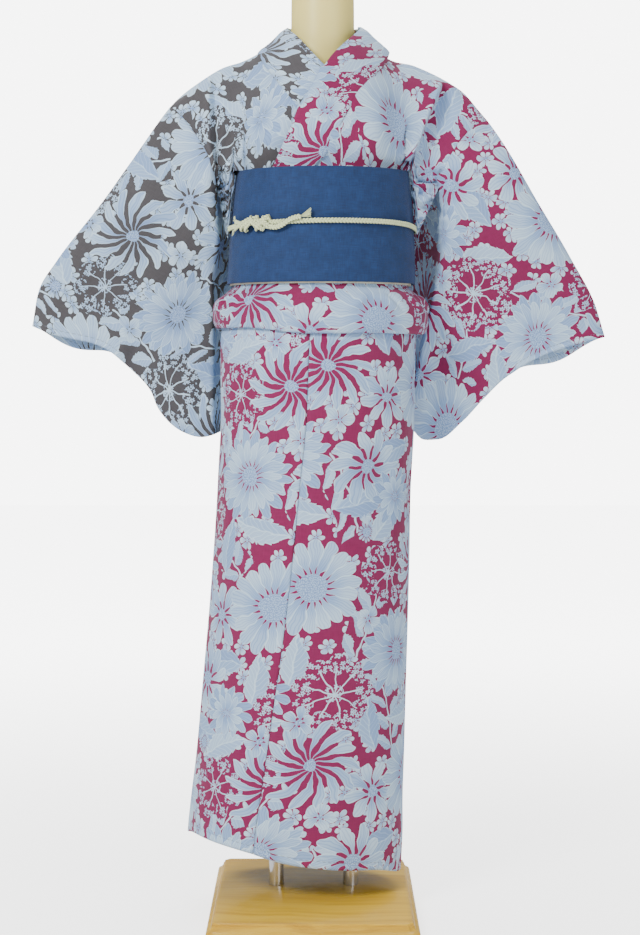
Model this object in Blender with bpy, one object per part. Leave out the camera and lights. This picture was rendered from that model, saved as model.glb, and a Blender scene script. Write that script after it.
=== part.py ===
"""Cotton yukata robe with its sash and cord, worn by a limbless dress form on a base board.

Metres, +Z up. The robe faces -Y. The origin is the centre of the board's underside.
"Left" and "right" are the wearer's, so right is at -X. Each cloth piece is a thin wall
on a surface worked out from the tables below.
"""

import math

import bpy
import numpy as np

# walls and gaps
CLOTH_WALL = 0.0012
OBI_WALL = 0.0016
SEAM_GAP = 0.0006
LAYER_STEP = 0.0046

# base board and poles
BOARD_WIDTH = 0.305
BOARD_DEPTH = 0.373
BOARD_THICKNESS = 0.028
BOARD_CORNER = 0.012
POLE_RADIUS = 0.0115
POLE_X = 0.0563
POLE_Y = 0.028
TOUCH_GAP = 0.0003

# the figure's upright axis
AXIS_Y = 0.025
NECK_X = 0.0138
WAIST_X = 0.0105

# dress form: height, half width, half depth
FORM_RINGS = (
    (0.700, 0.085, 0.070), (0.712, 0.100, 0.083), (0.760, 0.116, 0.095), (0.850, 0.120, 0.098),
    (0.940, 0.110, 0.088), (1.020, 0.103, 0.080), (1.100, 0.103, 0.079), (1.150, 0.117, 0.082),
    (1.185, 0.125, 0.072), (1.212, 0.114, 0.058), (1.235, 0.092, 0.050), (1.255, 0.064, 0.046),
    (1.275, 0.051, 0.046), (1.300, 0.0475, 0.047), (1.340, 0.0465, 0.047), (1.378, 0.0460, 0.047),
)

# skirt: height, half width, half depth, middle x
SKIRT_RINGS = (
    (0.050, 0.1590, 0.112, -0.0275), (0.110, 0.1600, 0.112, -0.0260), (0.160, 0.1580, 0.112, -0.0240),
    (0.235, 0.1555, 0.112, -0.0190), (0.330, 0.1530, 0.114, -0.0136), (0.400, 0.1510, 0.117, -0.0097),
    (0.510, 0.1475, 0.121, -0.0045), (0.645, 0.1440, 0.125, 0.0017), (0.725, 0.1440, 0.126, 0.0064),
    (0.850, 0.1450, 0.119, 0.0070), (0.900, 0.1390, 0.113, 0.0090),
)
SKIRT_TOP = 0.900
# lower edge of the skirt: angle in degrees round the figure, height
HEM_LINE = (
    (90, 0.056), (120, 0.066), (150, 0.092), (176, 0.108), (200, 0.116), (222, 0.112), (245, 0.103), (262, 0.091),
    (290, 0.079), (320, 0.070), (345, 0.057), (360, 0.054), (405, 0.054), (450, 0.056),
)
# the skirt's upright edges, in degrees round the figure
FREE_EDGE_ANGLE = 175
SIDE_SEAM_ANGLE = 352
RIGHT_SIDE_SEAM_ANGLE = 187
RIGHT_OVERLAP_ANGLE = 270
RIGHT_EDGE_ANGLE = 322
SKIRT_RADIUS = 0.15
FREE_EDGE_LIFT = 0.006
# seam between the front panel and the overlap panel: height, angle
OVERLAP_SEAM = ((0.050, 246), (0.200, 250), (0.500, 259), (0.760, 264), (0.900, 266))

# turned-up waist fold, down its outside and up its inside: height, half width, half depth
WAIST_FOLD = (
    (0.956, 0.1285, 0.1065), (0.931, 0.1305, 0.1080), (0.922, 0.1405, 0.1165), (0.905, 0.1560, 0.1265),
    (0.885, 0.1605, 0.1295), (0.868, 0.1580, 0.1275), (0.862, 0.1540, 0.1240), (0.867, 0.1508, 0.1216),
    (0.882, 0.1495, 0.1205),
)
FOLD_ANGLES = {"right": (90.2, 183.6), "left": (184, 449.8)}

# sash: height, half width, half depth, middle x of its outer face
OBI_RINGS = ((0.930, 0.1412, 0.1180, 0.0105), (1.015, 0.1375, 0.1155, 0.0120), (1.100, 0.1300, 0.1120, 0.0142))
OBI_TOP = 1.100
OBI_LOW = 0.9352
OBI_INNER_LOW = 0.9330
OBI_LAP_STEP = 0.0036
OBI_INNER_DEPTH = 1.7
OBI_START_ANGLE = 62
OBI_LAP_ANGLE = 392
OBI_MIDDLE = 1.015
OBI_INNER_DROP = 0.002

# upper body: shoulder ridge heights over x
SHOULDER_LINE = (
    (-0.2122, 1.1974), (-0.1987, 1.2110), (-0.1682, 1.2340), (-0.1346, 1.2544), (-0.1045, 1.2642),
    (-0.0778, 1.2775), (-0.0397, 1.3076), (0.0138, 1.3250), (0.0662, 1.3027), (0.0893, 1.2874),
    (0.1064, 1.2709), (0.1499, 1.2574), (0.1733, 1.2474), (0.2017, 1.2324), (0.2235, 1.2172),
    (0.2437, 1.1938), (0.2573, 1.1780),
)
# depth of the upper body before and behind the axis, over the distance from the middle:
# at the chest, and inside the sash
CHEST_DEPTH = (
    (0.0, 0.1040, 0.0900), (0.06, 0.0930, 0.0750), (0.08, 0.0830, 0.0620), (0.10, 0.0665, 0.0440),
    (0.11, 0.0560, 0.0320), (0.118, 0.0480, 0.0300), (0.13, 0.0400, 0.0350), (0.16, 0.0340, 0.0340),
    (0.25, 0.0280, 0.0280),
)
CHEST_HEIGHT = 1.150
SHOULDER_ROUND = 0.16
BODICE_LOW = 1.050
BODICE_OVERHANG = 0.0565
OVERHANG_FROM = 0.088
OVERHANG_OVER = 0.019
FRONT_LAP_END = 0.117
FRONT_LAP_FADE = 0.045
NORMAL_REACH = 0.0015
RIDGE_SLOPE = -20
# edges of the upper panels, over the share of the way down from the shoulder: share, x
PANEL_EDGES = {
    "right": {
        "front": ((0.0, -0.064), (0.23, -0.034), (0.45, 0.000), (0.63, 0.030), (1.0, 0.042)),
        "back": ((0.0, -0.064), (0.10, -0.056), (0.20, -0.024), (0.25, 0.0132), (1.0, 0.0132)),
        "armhole": ((0.0, -0.2122), (0.45, -0.183), (0.88, -0.152), (1.0, -0.146)),
    },
    "left": {
        "front": ((0.0, 0.090), (0.22, 0.062), (0.36, 0.035), (0.56, 0.000), (0.74, -0.025), (1.0, -0.042)),
        "back": ((0.0, 0.090), (0.10, 0.083), (0.20, 0.051), (0.25, 0.0144), (1.0, 0.0144)),
        "armhole": ((0.0, 0.2573), (0.45, 0.2300), (0.88, 0.1975), (1.0, 0.1900)),
    },
}
FRONT_LAYER = {"right": 0.0, "left": 0.0082}

# collar bands, from the middle of the back round the neck and down the front:
# x and height of the folded edge, x and height of the seamed edge; the back rows also give y
COLLAR_BACK = {
    "right": (
        (0.0132, 0.102, 1.312, 0.0132, 0.119, 1.262), (-0.0100, 0.096, 1.314, -0.0230, 0.108, 1.266),
        (-0.0290, 0.072, 1.316, -0.0600, 0.078, 1.276), (-0.0362, 0.046, 1.313, -0.0770, 0.054, 1.279),
    ),
    "left": (
        (0.0144, 0.102, 1.312, 0.0144, 0.119, 1.262), (0.0376, 0.096, 1.314, 0.0506, 0.108, 1.266),
        (0.0570, 0.072, 1.315, 0.0860, 0.080, 1.279), (0.0640, 0.046, 1.312, 0.1020, 0.054, 1.282),
    ),
}
COLLAR_FRONT = {
    "right": (
        (-0.0367, 1.307, -0.0817, 1.2760), (-0.0210, 1.288, -0.0690, 1.2490), (0.0000, 1.262, -0.0500, 1.2210),
        (0.0190, 1.239, -0.0250, 1.1890), (0.0360, 1.210, -0.0040, 1.1590), (0.0520, 1.172, 0.0080, 1.1300),
        (0.0620, 1.120, 0.0130, 1.1000), (0.0660, 1.060, 0.0140, 1.0560),
    ),
    "left": (
        (0.0644, 1.303, 0.1058, 1.2730), (0.0425, 1.274, 0.0930, 1.2430), (0.0246, 1.254, 0.0745, 1.2160),
        (0.0168, 1.243, 0.0627, 1.2040), (-0.0033, 1.206, 0.0462, 1.1730), (-0.0193, 1.181, 0.0330, 1.1490),
        (-0.0278, 1.159, 0.0170, 1.1210), (-0.0421, 1.131, 0.0026, 1.0990), (-0.0620, 1.070, -0.0130, 1.0530),
    ),
}
COLLAR_LAYER = {"right": 0.0033, "left": 0.0115}
COLLAR_WALL = 0.0022
COLLAR_LIE_FROM = 0.002
COLLAR_LIE_OVER = 0.012

# sleeves: outline points as x, height
SLEEVES = {
    "right": {
        "top": ((-0.2526, 1.1404), (-0.3141, 1.0565), (-0.3861, 0.9695), (-0.4101, 0.9365), (-0.4266, 0.8744)),
        "outer": ((-0.4266, 0.8744), (-0.3973, 0.8630), (-0.3102, 0.8375), (-0.2811, 0.8120), (-0.2481, 0.7760),
                  (-0.2377, 0.7505), (-0.2017, 0.7145), (-0.1717, 0.7055), (-0.1402, 0.7150), (-0.1150, 0.7330)),
        "inner": ((-0.1270, 1.1020), (-0.1090, 1.0900), (-0.1020, 1.0400), (-0.0980, 0.9800), (-0.0860, 0.9200),
                  (-0.0700, 0.8800)),
        "bottom": ((-0.0700, 0.8800), (-0.0720, 0.8200), (-0.0840, 0.7700), (-0.1150, 0.7330)),
        "cuff": 0.37,
        "ridge": ((0.700, 0.152), (1.100, 0.152)),
        "back_drop": 0.014,
    },
    "left": {
        "top": ((0.2902, 1.1284), (0.3337, 1.0565), (0.3847, 0.9762), (0.4237, 0.9110), (0.4423, 0.8580)),
        "outer": ((0.4423, 0.8580), (0.3915, 0.8450), (0.3442, 0.8285), (0.2896, 0.7940), (0.2572, 0.7618),
                  (0.2272, 0.7295), (0.1882, 0.7018), (0.1657, 0.7025), (0.1500, 0.7180), (0.1300, 0.7330)),
        "inner": ((0.1755, 1.0870), (0.1450, 1.0830), (0.1340, 1.0400), (0.1260, 0.9800), (0.1120, 0.9200),
                  (0.0950, 0.8800)),
        "bottom": ((0.0950, 0.8800), (0.0970, 0.8200), (0.1060, 0.7700), (0.1300, 0.7330)),
        "cuff": 0.40,
        "ridge": ((0.700, 0.142), (0.790, 0.154), (0.870, 0.171), (0.930, 0.182), (1.000, 0.194), (1.100, 0.194)),
        "back_drop": 0.018,
    },
}
# how far back the sleeves hang: height, y; what lies inward of the ridge turns further back
SLEEVE_Y = ((0.70, 0.080), (0.80, 0.076), (0.88, 0.069), (0.93, 0.056), (1.00, 0.032), (1.10, 0.016))
SLEEVE_DIVE = 0.130
SLEEVE_DIVE_REACH = 0.045
SLEEVE_ROOM = (0.026, 0.015)
SEWN_ROOM = 0.0011
# shares of the sleeve's depth and width: its rounded ends, the thinner lower part, and where it is sewn
MOUTH_ROUND = (0.12, 0.07)
BACK_THIN = 0.62
BACK_THIN_FROM = 0.30
SEWN_FROM = 0.80
BOUND_WIDTH = 0.30
BOUND_DEPTH = (0.80, 0.35)
ARMHOLE_SHARE = 0.33
ARMHOLE_SHARES = (0.0, 0.25, 0.5, 0.75, 1.0)
ARMHOLE_GAP = 0.0011

# cord tied over the sash
CORD_WIDTH = 0.0078
CORD_THICKNESS = 0.0034
KNOT_ANGLES = (217, 237)
KNOT_WIDTH = 0.015
KNOT_THICKNESS = 0.0115
KNOT_LIFT = 0.0042
END_WIDTH = 0.0066
END_THICKNESS = 0.0030
END_LIFT = 0.0040
LONG_END_ANGLE = 262
SHORT_END_ANGLE = 205
# height of the cord round the figure: angle, height
CORD_LINE = (
    (90, 1.0200), (180, 1.0155), (195, 1.0168), (217, 1.0190), (237, 1.0203), (260, 1.0217), (300, 1.0222),
    (335, 1.0200), (360, 1.0155), (450, 1.0200),
)

COLOURS = {
    "right_half": ((0.42, 0.47, 0.52, 1), 0.85, 0.0),
    "left_half": ((0.55, 0.42, 0.55, 1), 0.85, 0.0),
    "obi_blue": ((0.035, 0.10, 0.26, 1), 0.8, 0.0),
    "obi_reverse": ((0.80, 0.76, 0.62, 1), 0.8, 0.0),
    "cord": ((0.68, 0.68, 0.50, 1), 0.8, 0.0),
    "form": ((0.85, 0.75, 0.42, 1), 0.5, 0.0),
    "chrome": ((0.75, 0.75, 0.75, 1), 0.15, 1.0),
    "maple": ((0.78, 0.52, 0.20, 1), 0.35, 0.0),
}


def clear_scene():
    for obj in list(bpy.data.objects):
        bpy.data.objects.remove(obj, do_unlink=True)


def material(name):
    found = bpy.data.materials.get(name)
    if found:
        return found
    colour, roughness, metallic = COLOURS[name]
    made = bpy.data.materials.new(name)
    made.use_nodes = True
    shader = made.node_tree.nodes["Principled BSDF"]
    shader.inputs["Base Color"].default_value = colour
    shader.inputs["Roughness"].default_value = roughness
    shader.inputs["Metallic"].default_value = metallic
    made.diffuse_color = colour
    return made


def through(rows, at, column=1):
    """Smooth curve through a table's rows, read at one or many keys."""
    keys = np.array([row[0] for row in rows], float)
    values = np.array([row[column] for row in rows], float)
    slopes = np.gradient(values, keys)
    flat = (np.diff(values)[:-1] * np.diff(values)[1:]) <= 0
    slopes[1:-1][flat] = 0
    at = np.clip(np.asarray(at, float), keys[0], keys[-1])
    cell = np.clip(np.searchsorted(keys, at, side="right") - 1, 0, len(keys) - 2)
    span = keys[cell + 1] - keys[cell]
    u = (at - keys[cell]) / span
    return (
        values[cell] * (1 + 2 * u) * (1 - u) ** 2
        + slopes[cell] * span * u * (1 - u) ** 2
        + values[cell + 1] * u * u * (3 - 2 * u)
        - slopes[cell + 1] * span * u * u * (1 - u)
    )


def along(points, share):
    """Points of a smooth curve at shares of its length."""
    points = np.array(points, float)
    length = np.concatenate([[0], np.cumsum(np.linalg.norm(np.diff(points, axis=0), axis=1))])
    rows = np.column_stack([length / length[-1], points])
    return np.stack([through(rows, share, column + 1) for column in range(points.shape[1])], axis=-1)


def ease(value):
    value = np.clip(value, 0, 1)
    return value * value * (3 - 2 * value)


def grid_mesh(name, points, closed_u=False):
    """Quads over a grid of points[u, v, 3]."""
    count_u, count_v = points.shape[:2]
    index = np.arange(count_u * count_v).reshape(count_u, count_v)
    if closed_u:
        index = np.vstack([index, index[:1]])
    faces = np.stack([index[:-1, :-1], index[1:, :-1], index[1:, 1:], index[:-1, 1:]], axis=-1).reshape(-1, 4)
    mesh = bpy.data.meshes.new(name)
    mesh.from_pydata(points.reshape(-1, 3).tolist(), [], faces.tolist())
    mesh.shade_smooth()
    return mesh


def add_object(name, mesh, colour):
    obj = bpy.data.objects.new(name, mesh)
    bpy.context.scene.collection.objects.link(obj)
    mesh.materials.append(material(colour))
    return obj


def cloth(name, points, colour, wall=CLOTH_WALL, closed_u=False):
    """A wall of even thickness, half to each side of a grid of points."""
    obj = add_object(name, grid_mesh(name, points, closed_u), colour)
    solidify = obj.modifiers.new("wall", "SOLIDIFY")
    solidify.thickness = wall
    solidify.offset = 0
    return obj


def solid_rings(name, rings, colour):
    """A closed body lofted through rings[level, corner, 3], with flat ends."""
    levels, corners = rings.shape[:2]
    index = np.arange(levels * corners).reshape(levels, corners)
    turned = np.roll(index, -1, axis=1)
    sides = np.stack([index[:-1], turned[:-1], turned[1:], index[1:]], axis=-1).reshape(-1, 4).tolist()
    mesh = bpy.data.meshes.new(name)
    mesh.from_pydata(rings.reshape(-1, 3).tolist(), [], sides + [index[0, ::-1].tolist(), index[-1].tolist()])
    mesh.shade_smooth()
    mesh.set_sharp_from_angle(angle=math.radians(35))
    return add_object(name, mesh, colour)


def oval(angle, half_width, half_depth, middle_x, out=0.0):
    """x and y on an oval round the figure's axis; 180 degrees is -X and 270 is the front."""
    radians = np.radians(angle)
    x = middle_x + (half_width + out) * np.cos(radians)
    y = AXIS_Y + (half_depth + out) * np.sin(radians)
    return x, y


# ---- upper body ----

def panel_low(x):
    """Height of an upper panel's lower edge: under the sash, and higher where it hangs beside it."""
    return BODICE_LOW + BODICE_OVERHANG * ease((abs(x - NECK_X) - OVERHANG_FROM) / OVERHANG_OVER)


def body_point(x, share, back=False, layer=0.0):
    """The robe's surface at x, a share of the way down from the shoulder ridge."""
    ridge = through(SHOULDER_LINE, x)
    return body_at_height(x, ridge - (ridge - panel_low(x)) * share, back, layer)


def body_depth(x, z):
    """How far the robe stands from the axis plane: a quarter oval down from the shoulder ridge."""
    drop = np.clip((through(SHOULDER_LINE, x) - z) / SHOULDER_ROUND, 0, 1)
    off = abs(x - NECK_X)
    chest = through(CHEST_DEPTH, off)
    sash = through(CHEST_DEPTH, off, 2)
    full = sash + (chest - sash) * ease((z - OBI_TOP) / (CHEST_HEIGHT - OBI_TOP))
    return full * np.sqrt(1 - (1 - drop) ** 2)


def body_at_height(x, z, back=False, layer=0.0):
    """The robe's surface, moved out along its normal by the layers that lie below."""
    x, z, layer = np.broadcast_arrays(np.asarray(x, float), np.asarray(z, float), layer)
    reach = NORMAL_REACH
    depth = body_depth(x, z)
    slope_x = (body_depth(x + reach, z) - body_depth(x - reach, z)) / (2 * reach)
    slope_z = (body_depth(x, z + reach) - body_depth(x, z - reach)) / (2 * reach)
    slope_z = np.where(z > through(SHOULDER_LINE, x) - reach, RIDGE_SLOPE, slope_z)
    size = np.sqrt(1 + slope_x ** 2 + slope_z ** 2)
    out = depth + layer / size
    y = AXIS_Y + out if back else AXIS_Y - out
    return np.stack([x - layer * slope_x / size, y, z - layer * slope_z / size], axis=-1)


def upper_body(side):
    """One length of cloth: up the front, over the shoulder and down the back."""
    edges = PANEL_EDGES[side]
    across = np.linspace(0, 1, 12)
    down = np.array([0.008, 0.045, 0.12, 0.22, 0.34, 0.46, 0.57, 0.66, 0.74, 0.83, 1.0])
    halves = []
    for back in (False, True):
        inner = through(edges["back" if back else "front"], down)
        outer = through(edges["armhole"], down)
        x = inner[:, None] + (outer - inner)[:, None] * across
        # the left front lies on the right one, as far as that reaches
        layer = 0.0 if back else FRONT_LAYER[side] * ease(down[:, None] * 4) * ease((FRONT_LAP_END - x) / FRONT_LAP_FADE)
        halves.append(body_point(x, down[:, None], back, layer))
    neck_x = edges["front"][0][1]
    ridge = body_point(neck_x + (edges["armhole"][0][1] - neck_x) * across, 0.0)
    points = np.concatenate([halves[0][::-1], ridge[None], halves[1]])
    cloth(f"body_{side}", points, f"{side}_half")


def collar(side):
    """Folded band round the neck and down the front, lying on the panels."""
    rows = []
    for x0, y0, z0, x1, y1, z1 in COLLAR_BACK[side]:
        rows.append(((x0, y0, z0), (x1, y1, z1)))
    for x0, z0, x1, z1 in COLLAR_FRONT[side]:
        rows.append(((x0, AXIS_Y - body_depth(x0, z0), z0), (x1, AXIS_Y - body_depth(x1, z1), z1)))
    rows = np.array(rows, float)
    share = np.linspace(0, 1, 23)
    folded = along(rows[:, 0], share)
    seamed = along(rows[:, 1], share)
    across = np.linspace(0, 1, 6)
    points = folded[:, None] + (seamed - folded)[:, None] * across[:, None]
    lying = body_at_height(points[..., 0], points[..., 2], False, COLLAR_LAYER[side])
    front = ease((AXIS_Y - COLLAR_LIE_FROM - points[..., 1]) / COLLAR_LIE_OVER)[..., None]
    raised = points + np.array([0, 0, COLLAR_LAYER["right"]])
    cloth(f"collar_{side}", raised * (1 - front) + lying * front, f"{side}_half", COLLAR_WALL)


# ---- sleeves ----

def sleeve_outline(side):
    """The four edges of a sleeve in the x-z plane: top, outer, inner and bottom."""
    spec = SLEEVES[side]
    armhole = [body_point(through(PANEL_EDGES[side]["armhole"], share), share)[[0, 2]]
               for share in ARMHOLE_SHARES]
    outward = -1 if side == "right" else 1
    armhole = [(x + outward * ARMHOLE_GAP, z) for x, z in armhole]
    top = [armhole[0], *spec["top"]]
    inner = [*armhole, *spec["inner"]]
    return top, spec["outer"], inner, spec["bottom"]


def sleeve(side):
    """A flat tube: open at the armhole and the inner edge, and at the cuff as far as its sewn part."""
    spec = SLEEVES[side]
    top, outer, inner, bottom = sleeve_outline(side)
    s = np.array([0, 0.08, 0.18, 0.32, 0.48, 0.64, 0.80, 0.92, 1.0])[:, None]
    t = np.array([0, 0.008, 0.04, 0.11, 0.20, 0.30, 0.41, 0.53, 0.65, 0.77, 0.88, 0.96, 0.992, 1.0])[None, :]
    top_edge = along(top, s[:, 0])[:, None]
    low_edge = along(bottom, s[:, 0])[:, None]
    inner_edge = along(inner, t[0])[None]
    outer_edge = along(outer, t[0])[None]
    s3, t3 = s[..., None], t[..., None]
    corners = (
        top_edge[:1] * (1 - s3) * (1 - t3) + top_edge[-1:] * s3 * (1 - t3)
        + low_edge[:1] * (1 - s3) * t3 + low_edge[-1:] * s3 * t3
    )
    flat = top_edge * (1 - t3) + low_edge * t3 + inner_edge * (1 - s3) + outer_edge * s3 - corners
    x, z = flat[..., 0], flat[..., 1]
    inside = np.clip(through(spec["ridge"], z) - abs(x), 0, None)
    middle_y = through(SLEEVE_Y, z) + SLEEVE_DIVE * (1 - np.exp(-((inside / SLEEVE_DIVE_REACH) ** 1.25)))
    near_top = np.clip(t / MOUTH_ROUND[0], 0, 1)
    near_low = np.clip((1 - t) / MOUTH_ROUND[1], 0, 1)
    edge = np.sqrt(1 - (1 - near_top) ** 2) * np.sqrt(1 - (1 - near_low) ** 2)
    room = (SLEEVE_ROOM[0] + (SLEEVE_ROOM[1] - SLEEVE_ROOM[0]) * s) * edge
    room = room * (1 - BACK_THIN * ease((t - BACK_THIN_FROM) / BACK_THIN_FROM))
    sewn = ease((t - spec["cuff"]) / 0.05) * ease((s - SEWN_FROM) / (1 - SEWN_FROM))
    room = np.where(edge > 0, room * (1 - sewn) + SEWN_ROOM * sewn * np.minimum(edge * 3, 1), 0)
    # the part sewn to the body follows the armhole
    bound = (1 - ease(s / BOUND_WIDTH)) * (1 - ease((t / ARMHOLE_SHARE - BOUND_DEPTH[0]) / BOUND_DEPTH[1]))
    armhole_depth = np.where(t > 0, body_depth(x, z), 0)
    hang = spec["back_drop"] * ease((s - 0.75) / 0.25) * np.sin(np.pi * np.clip(t / spec["cuff"], 0, 1)) ** 2
    front = np.stack([x, (middle_y - room) * (1 - bound) + (AXIS_Y - armhole_depth) * bound, z], axis=-1)
    back = np.stack([x, (middle_y + room) * (1 - bound) + (AXIS_Y + armhole_depth) * bound, z - hang], axis=-1)
    ring = np.concatenate([front, back[:, -2:0:-1]], axis=1)
    cloth(f"sleeve_{side}", ring.transpose(1, 0, 2), f"{side}_half", closed_u=True)


# ---- skirt and waist ----

def skirt_points(start, end, columns, rows, out):
    """A panel of the skirt between two edges given as height-angle tables."""
    across = np.linspace(0, 1, columns)[:, None]
    down = np.linspace(0, 1, rows)[None, :]
    z = np.full((columns, rows), 0.0)
    for _ in range(3):
        first = through(start, z)
        last = through(end, z)
        angle = first + (last - first) * across
        low = through(HEM_LINE, angle)
        z = SKIRT_TOP + (low - SKIRT_TOP) * down
    shift = out(angle, z) if callable(out) else out
    x, y = oval(angle, through(SKIRT_RINGS, z), through(SKIRT_RINGS, z, 2), through(SKIRT_RINGS, z, 3), shift)
    return np.stack([x, y, z], axis=-1)


def straight(angle):
    return ((0.0, angle), (1.0, angle))


def shifted(rows, step):
    return tuple((z, angle + step) for z, angle in rows)


def skirt():
    seam = math.degrees(SEAM_GAP / SKIRT_RADIUS)
    free_edge = straight(FREE_EDGE_ANGLE)
    side_seam = straight(SIDE_SEAM_ANGLE)
    under = -LAYER_STEP

    def overlap_out(angle, z):
        # the free edge stands a little away from the panel below, most at the hem
        return FREE_EDGE_LIFT * ease((190 - angle) / 15) * ease((0.35 - z) / 0.3)

    def going_under(angle, z):
        return under * ease((angle - 100) / 50)

    cloth("overlap_left", skirt_points(free_edge, shifted(OVERLAP_SEAM, -seam), 9, 10, overlap_out), "left_half")
    cloth("front_left", skirt_points(OVERLAP_SEAM, shifted(side_seam, -seam), 10, 10, 0.0), "left_half")
    cloth("back_left", skirt_points(side_seam, straight(450 - seam), 9, 9, 0.0), "left_half")
    cloth("back_right", skirt_points(straight(90), straight(RIGHT_SIDE_SEAM_ANGLE), 9, 9, going_under), "right_half")
    cloth("front_right", skirt_points(straight(RIGHT_SIDE_SEAM_ANGLE + seam), straight(RIGHT_OVERLAP_ANGLE), 8, 9, under),
          "right_half")
    cloth("overlap_right", skirt_points(straight(RIGHT_OVERLAP_ANGLE + seam), straight(RIGHT_EDGE_ANGLE), 6, 9, under),
          "right_half")


def waist_fold(side, start, end, columns):
    """The body cloth folded up on itself below the sash."""
    angle = np.linspace(start, end, columns)[:, None]
    rows = np.array(WAIST_FOLD)
    x, y = oval(angle, rows[None, :, 1], rows[None, :, 2], WAIST_X)
    points = np.stack([x, y, np.broadcast_to(rows[None, :, 0], x.shape)], axis=-1)
    cloth(f"waist_fold_{side}", points, f"{side}_half")


def obi_oval(angle, z, out):
    return oval(angle, through(OBI_RINGS, z), through(OBI_RINGS, z, 2), through(OBI_RINGS, z, 3), out)


def obi_spiral(angle):
    """The outer lap lies a lap higher after each full turn."""
    return -OBI_WALL / 2 + OBI_LAP_STEP * (angle - 360) / 360


def obi():
    angle = np.linspace(0, 360, 49)[:-1, None]
    z = np.array([OBI_INNER_LOW, OBI_MIDDLE, OBI_TOP - OBI_INNER_DROP])[None, :]
    x, y = obi_oval(angle, z, -OBI_WALL / 2 - OBI_LAP_STEP * OBI_INNER_DEPTH)
    points = np.stack([x, y, np.broadcast_to(z, x.shape)], axis=-1)
    cloth("obi_inner_lap", points, "obi_reverse", OBI_WALL, closed_u=True)

    angle = np.linspace(OBI_START_ANGLE, OBI_START_ANGLE + OBI_LAP_ANGLE, 54)[:, None]
    z = np.array([OBI_LOW, 0.975, OBI_MIDDLE, 1.06, OBI_TOP])[None, :]
    x, y = obi_oval(angle, z, obi_spiral(angle))
    points = np.stack([x, y, np.broadcast_to(z, x.shape)], axis=-1)
    cloth("obi_outer_lap", points, "obi_blue", OBI_WALL)


# ---- cord ----

def cord_points(angle, lift=0.0, drop=0.0):
    z = through(CORD_LINE, angle) - drop
    out = obi_spiral(angle + 360 * (angle < 100)) + OBI_WALL / 2 + CORD_THICKNESS / 2 + TOUCH_GAP * 2 + lift
    x, y = obi_oval(angle, z, out)
    return np.stack([x, y, z], axis=-1)


def swept_bar(name, path, widths, thickness, colour):
    """A flat bar of oval section carried along a path that lies against the sash."""
    path = np.asarray(path, float)
    tangent = np.gradient(path, axis=0)
    tangent /= np.linalg.norm(tangent, axis=1, keepdims=True)
    outward = path - np.array([WAIST_X, AXIS_Y, 0])
    outward[:, 2] = 0
    outward -= tangent * np.sum(outward * tangent, axis=1, keepdims=True)
    outward /= np.linalg.norm(outward, axis=1, keepdims=True)
    side = np.cross(tangent, outward)
    turn = np.linspace(0, 2 * math.pi, 9)[:-1]
    half_widths = np.broadcast_to(np.asarray(widths, float) / 2, len(path))
    rings = (
        path[:, None]
        + side[:, None] * (np.cos(turn)[None, :, None] * half_widths[:, None, None])
        + outward[:, None] * (np.sin(turn)[None, :, None] * thickness / 2)
    )
    return solid_rings(name, rings[:, ::-1], colour)


def cord():
    loop = np.linspace(KNOT_ANGLES[1], KNOT_ANGLES[0] + 360, 55)
    inside_turn = np.where(loop > 450, loop - 360, loop)
    swept_bar("obijime_band", cord_points(inside_turn), CORD_WIDTH, CORD_THICKNESS, "cord")

    knot = np.linspace(KNOT_ANGLES[0] + 0.3, KNOT_ANGLES[1] - 0.3, 9)
    bulge = np.sin(np.linspace(0.22, math.pi - 0.22, 9))
    swept_bar("obijime_knot", cord_points(knot, KNOT_LIFT, 0.001), KNOT_WIDTH * bulge, KNOT_THICKNESS, "cord")

    strand = np.linspace(KNOT_ANGLES[1] + 0.4, LONG_END_ANGLE, 10)
    rise = np.linspace(0, 1, 10)
    lower = cord_points(strand, END_LIFT)
    lower[:, 2] += -0.0045 + 0.010 * ease(rise)
    swept_bar("obijime_long_end", lower, END_WIDTH + 0.006 * ease((rise - 0.75) / 0.25), END_THICKNESS, "cord")

    short = np.linspace(KNOT_ANGLES[0] - 0.4, SHORT_END_ANGLE, 7)
    upper = cord_points(short, END_LIFT)
    upper[:, 2] += 0.004 * np.linspace(0, 1, 7)
    swept_bar("obijime_short_end", upper, END_WIDTH, END_THICKNESS, "cord")


# ---- stand ----

def dress_form():
    rows = np.array(FORM_RINGS)
    angle = np.linspace(0, 360, 33)[:-1]
    middle = WAIST_X + (NECK_X - WAIST_X) * ease((rows[:, 0] - 0.9) / 0.3)
    x, y = oval(angle[None], rows[:, 1:2], rows[:, 2:3], middle[:, None])
    rings = np.stack([x, y, np.broadcast_to(rows[:, :1], x.shape)], axis=-1)
    solid_rings("dress_form", rings, "form")


def pole(name, x):
    angle = np.linspace(0, 2 * math.pi, 25)[:-1]
    heights = np.array([BOARD_THICKNESS + TOUCH_GAP, FORM_RINGS[0][0] - TOUCH_GAP])
    ring_x = x + POLE_RADIUS * np.cos(angle)
    ring_y = POLE_Y + POLE_RADIUS * np.sin(angle)
    rings = np.stack([np.stack([ring_x, ring_y, np.full_like(angle, z)], axis=-1) for z in heights])
    solid_rings(name, rings, "chrome")


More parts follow.
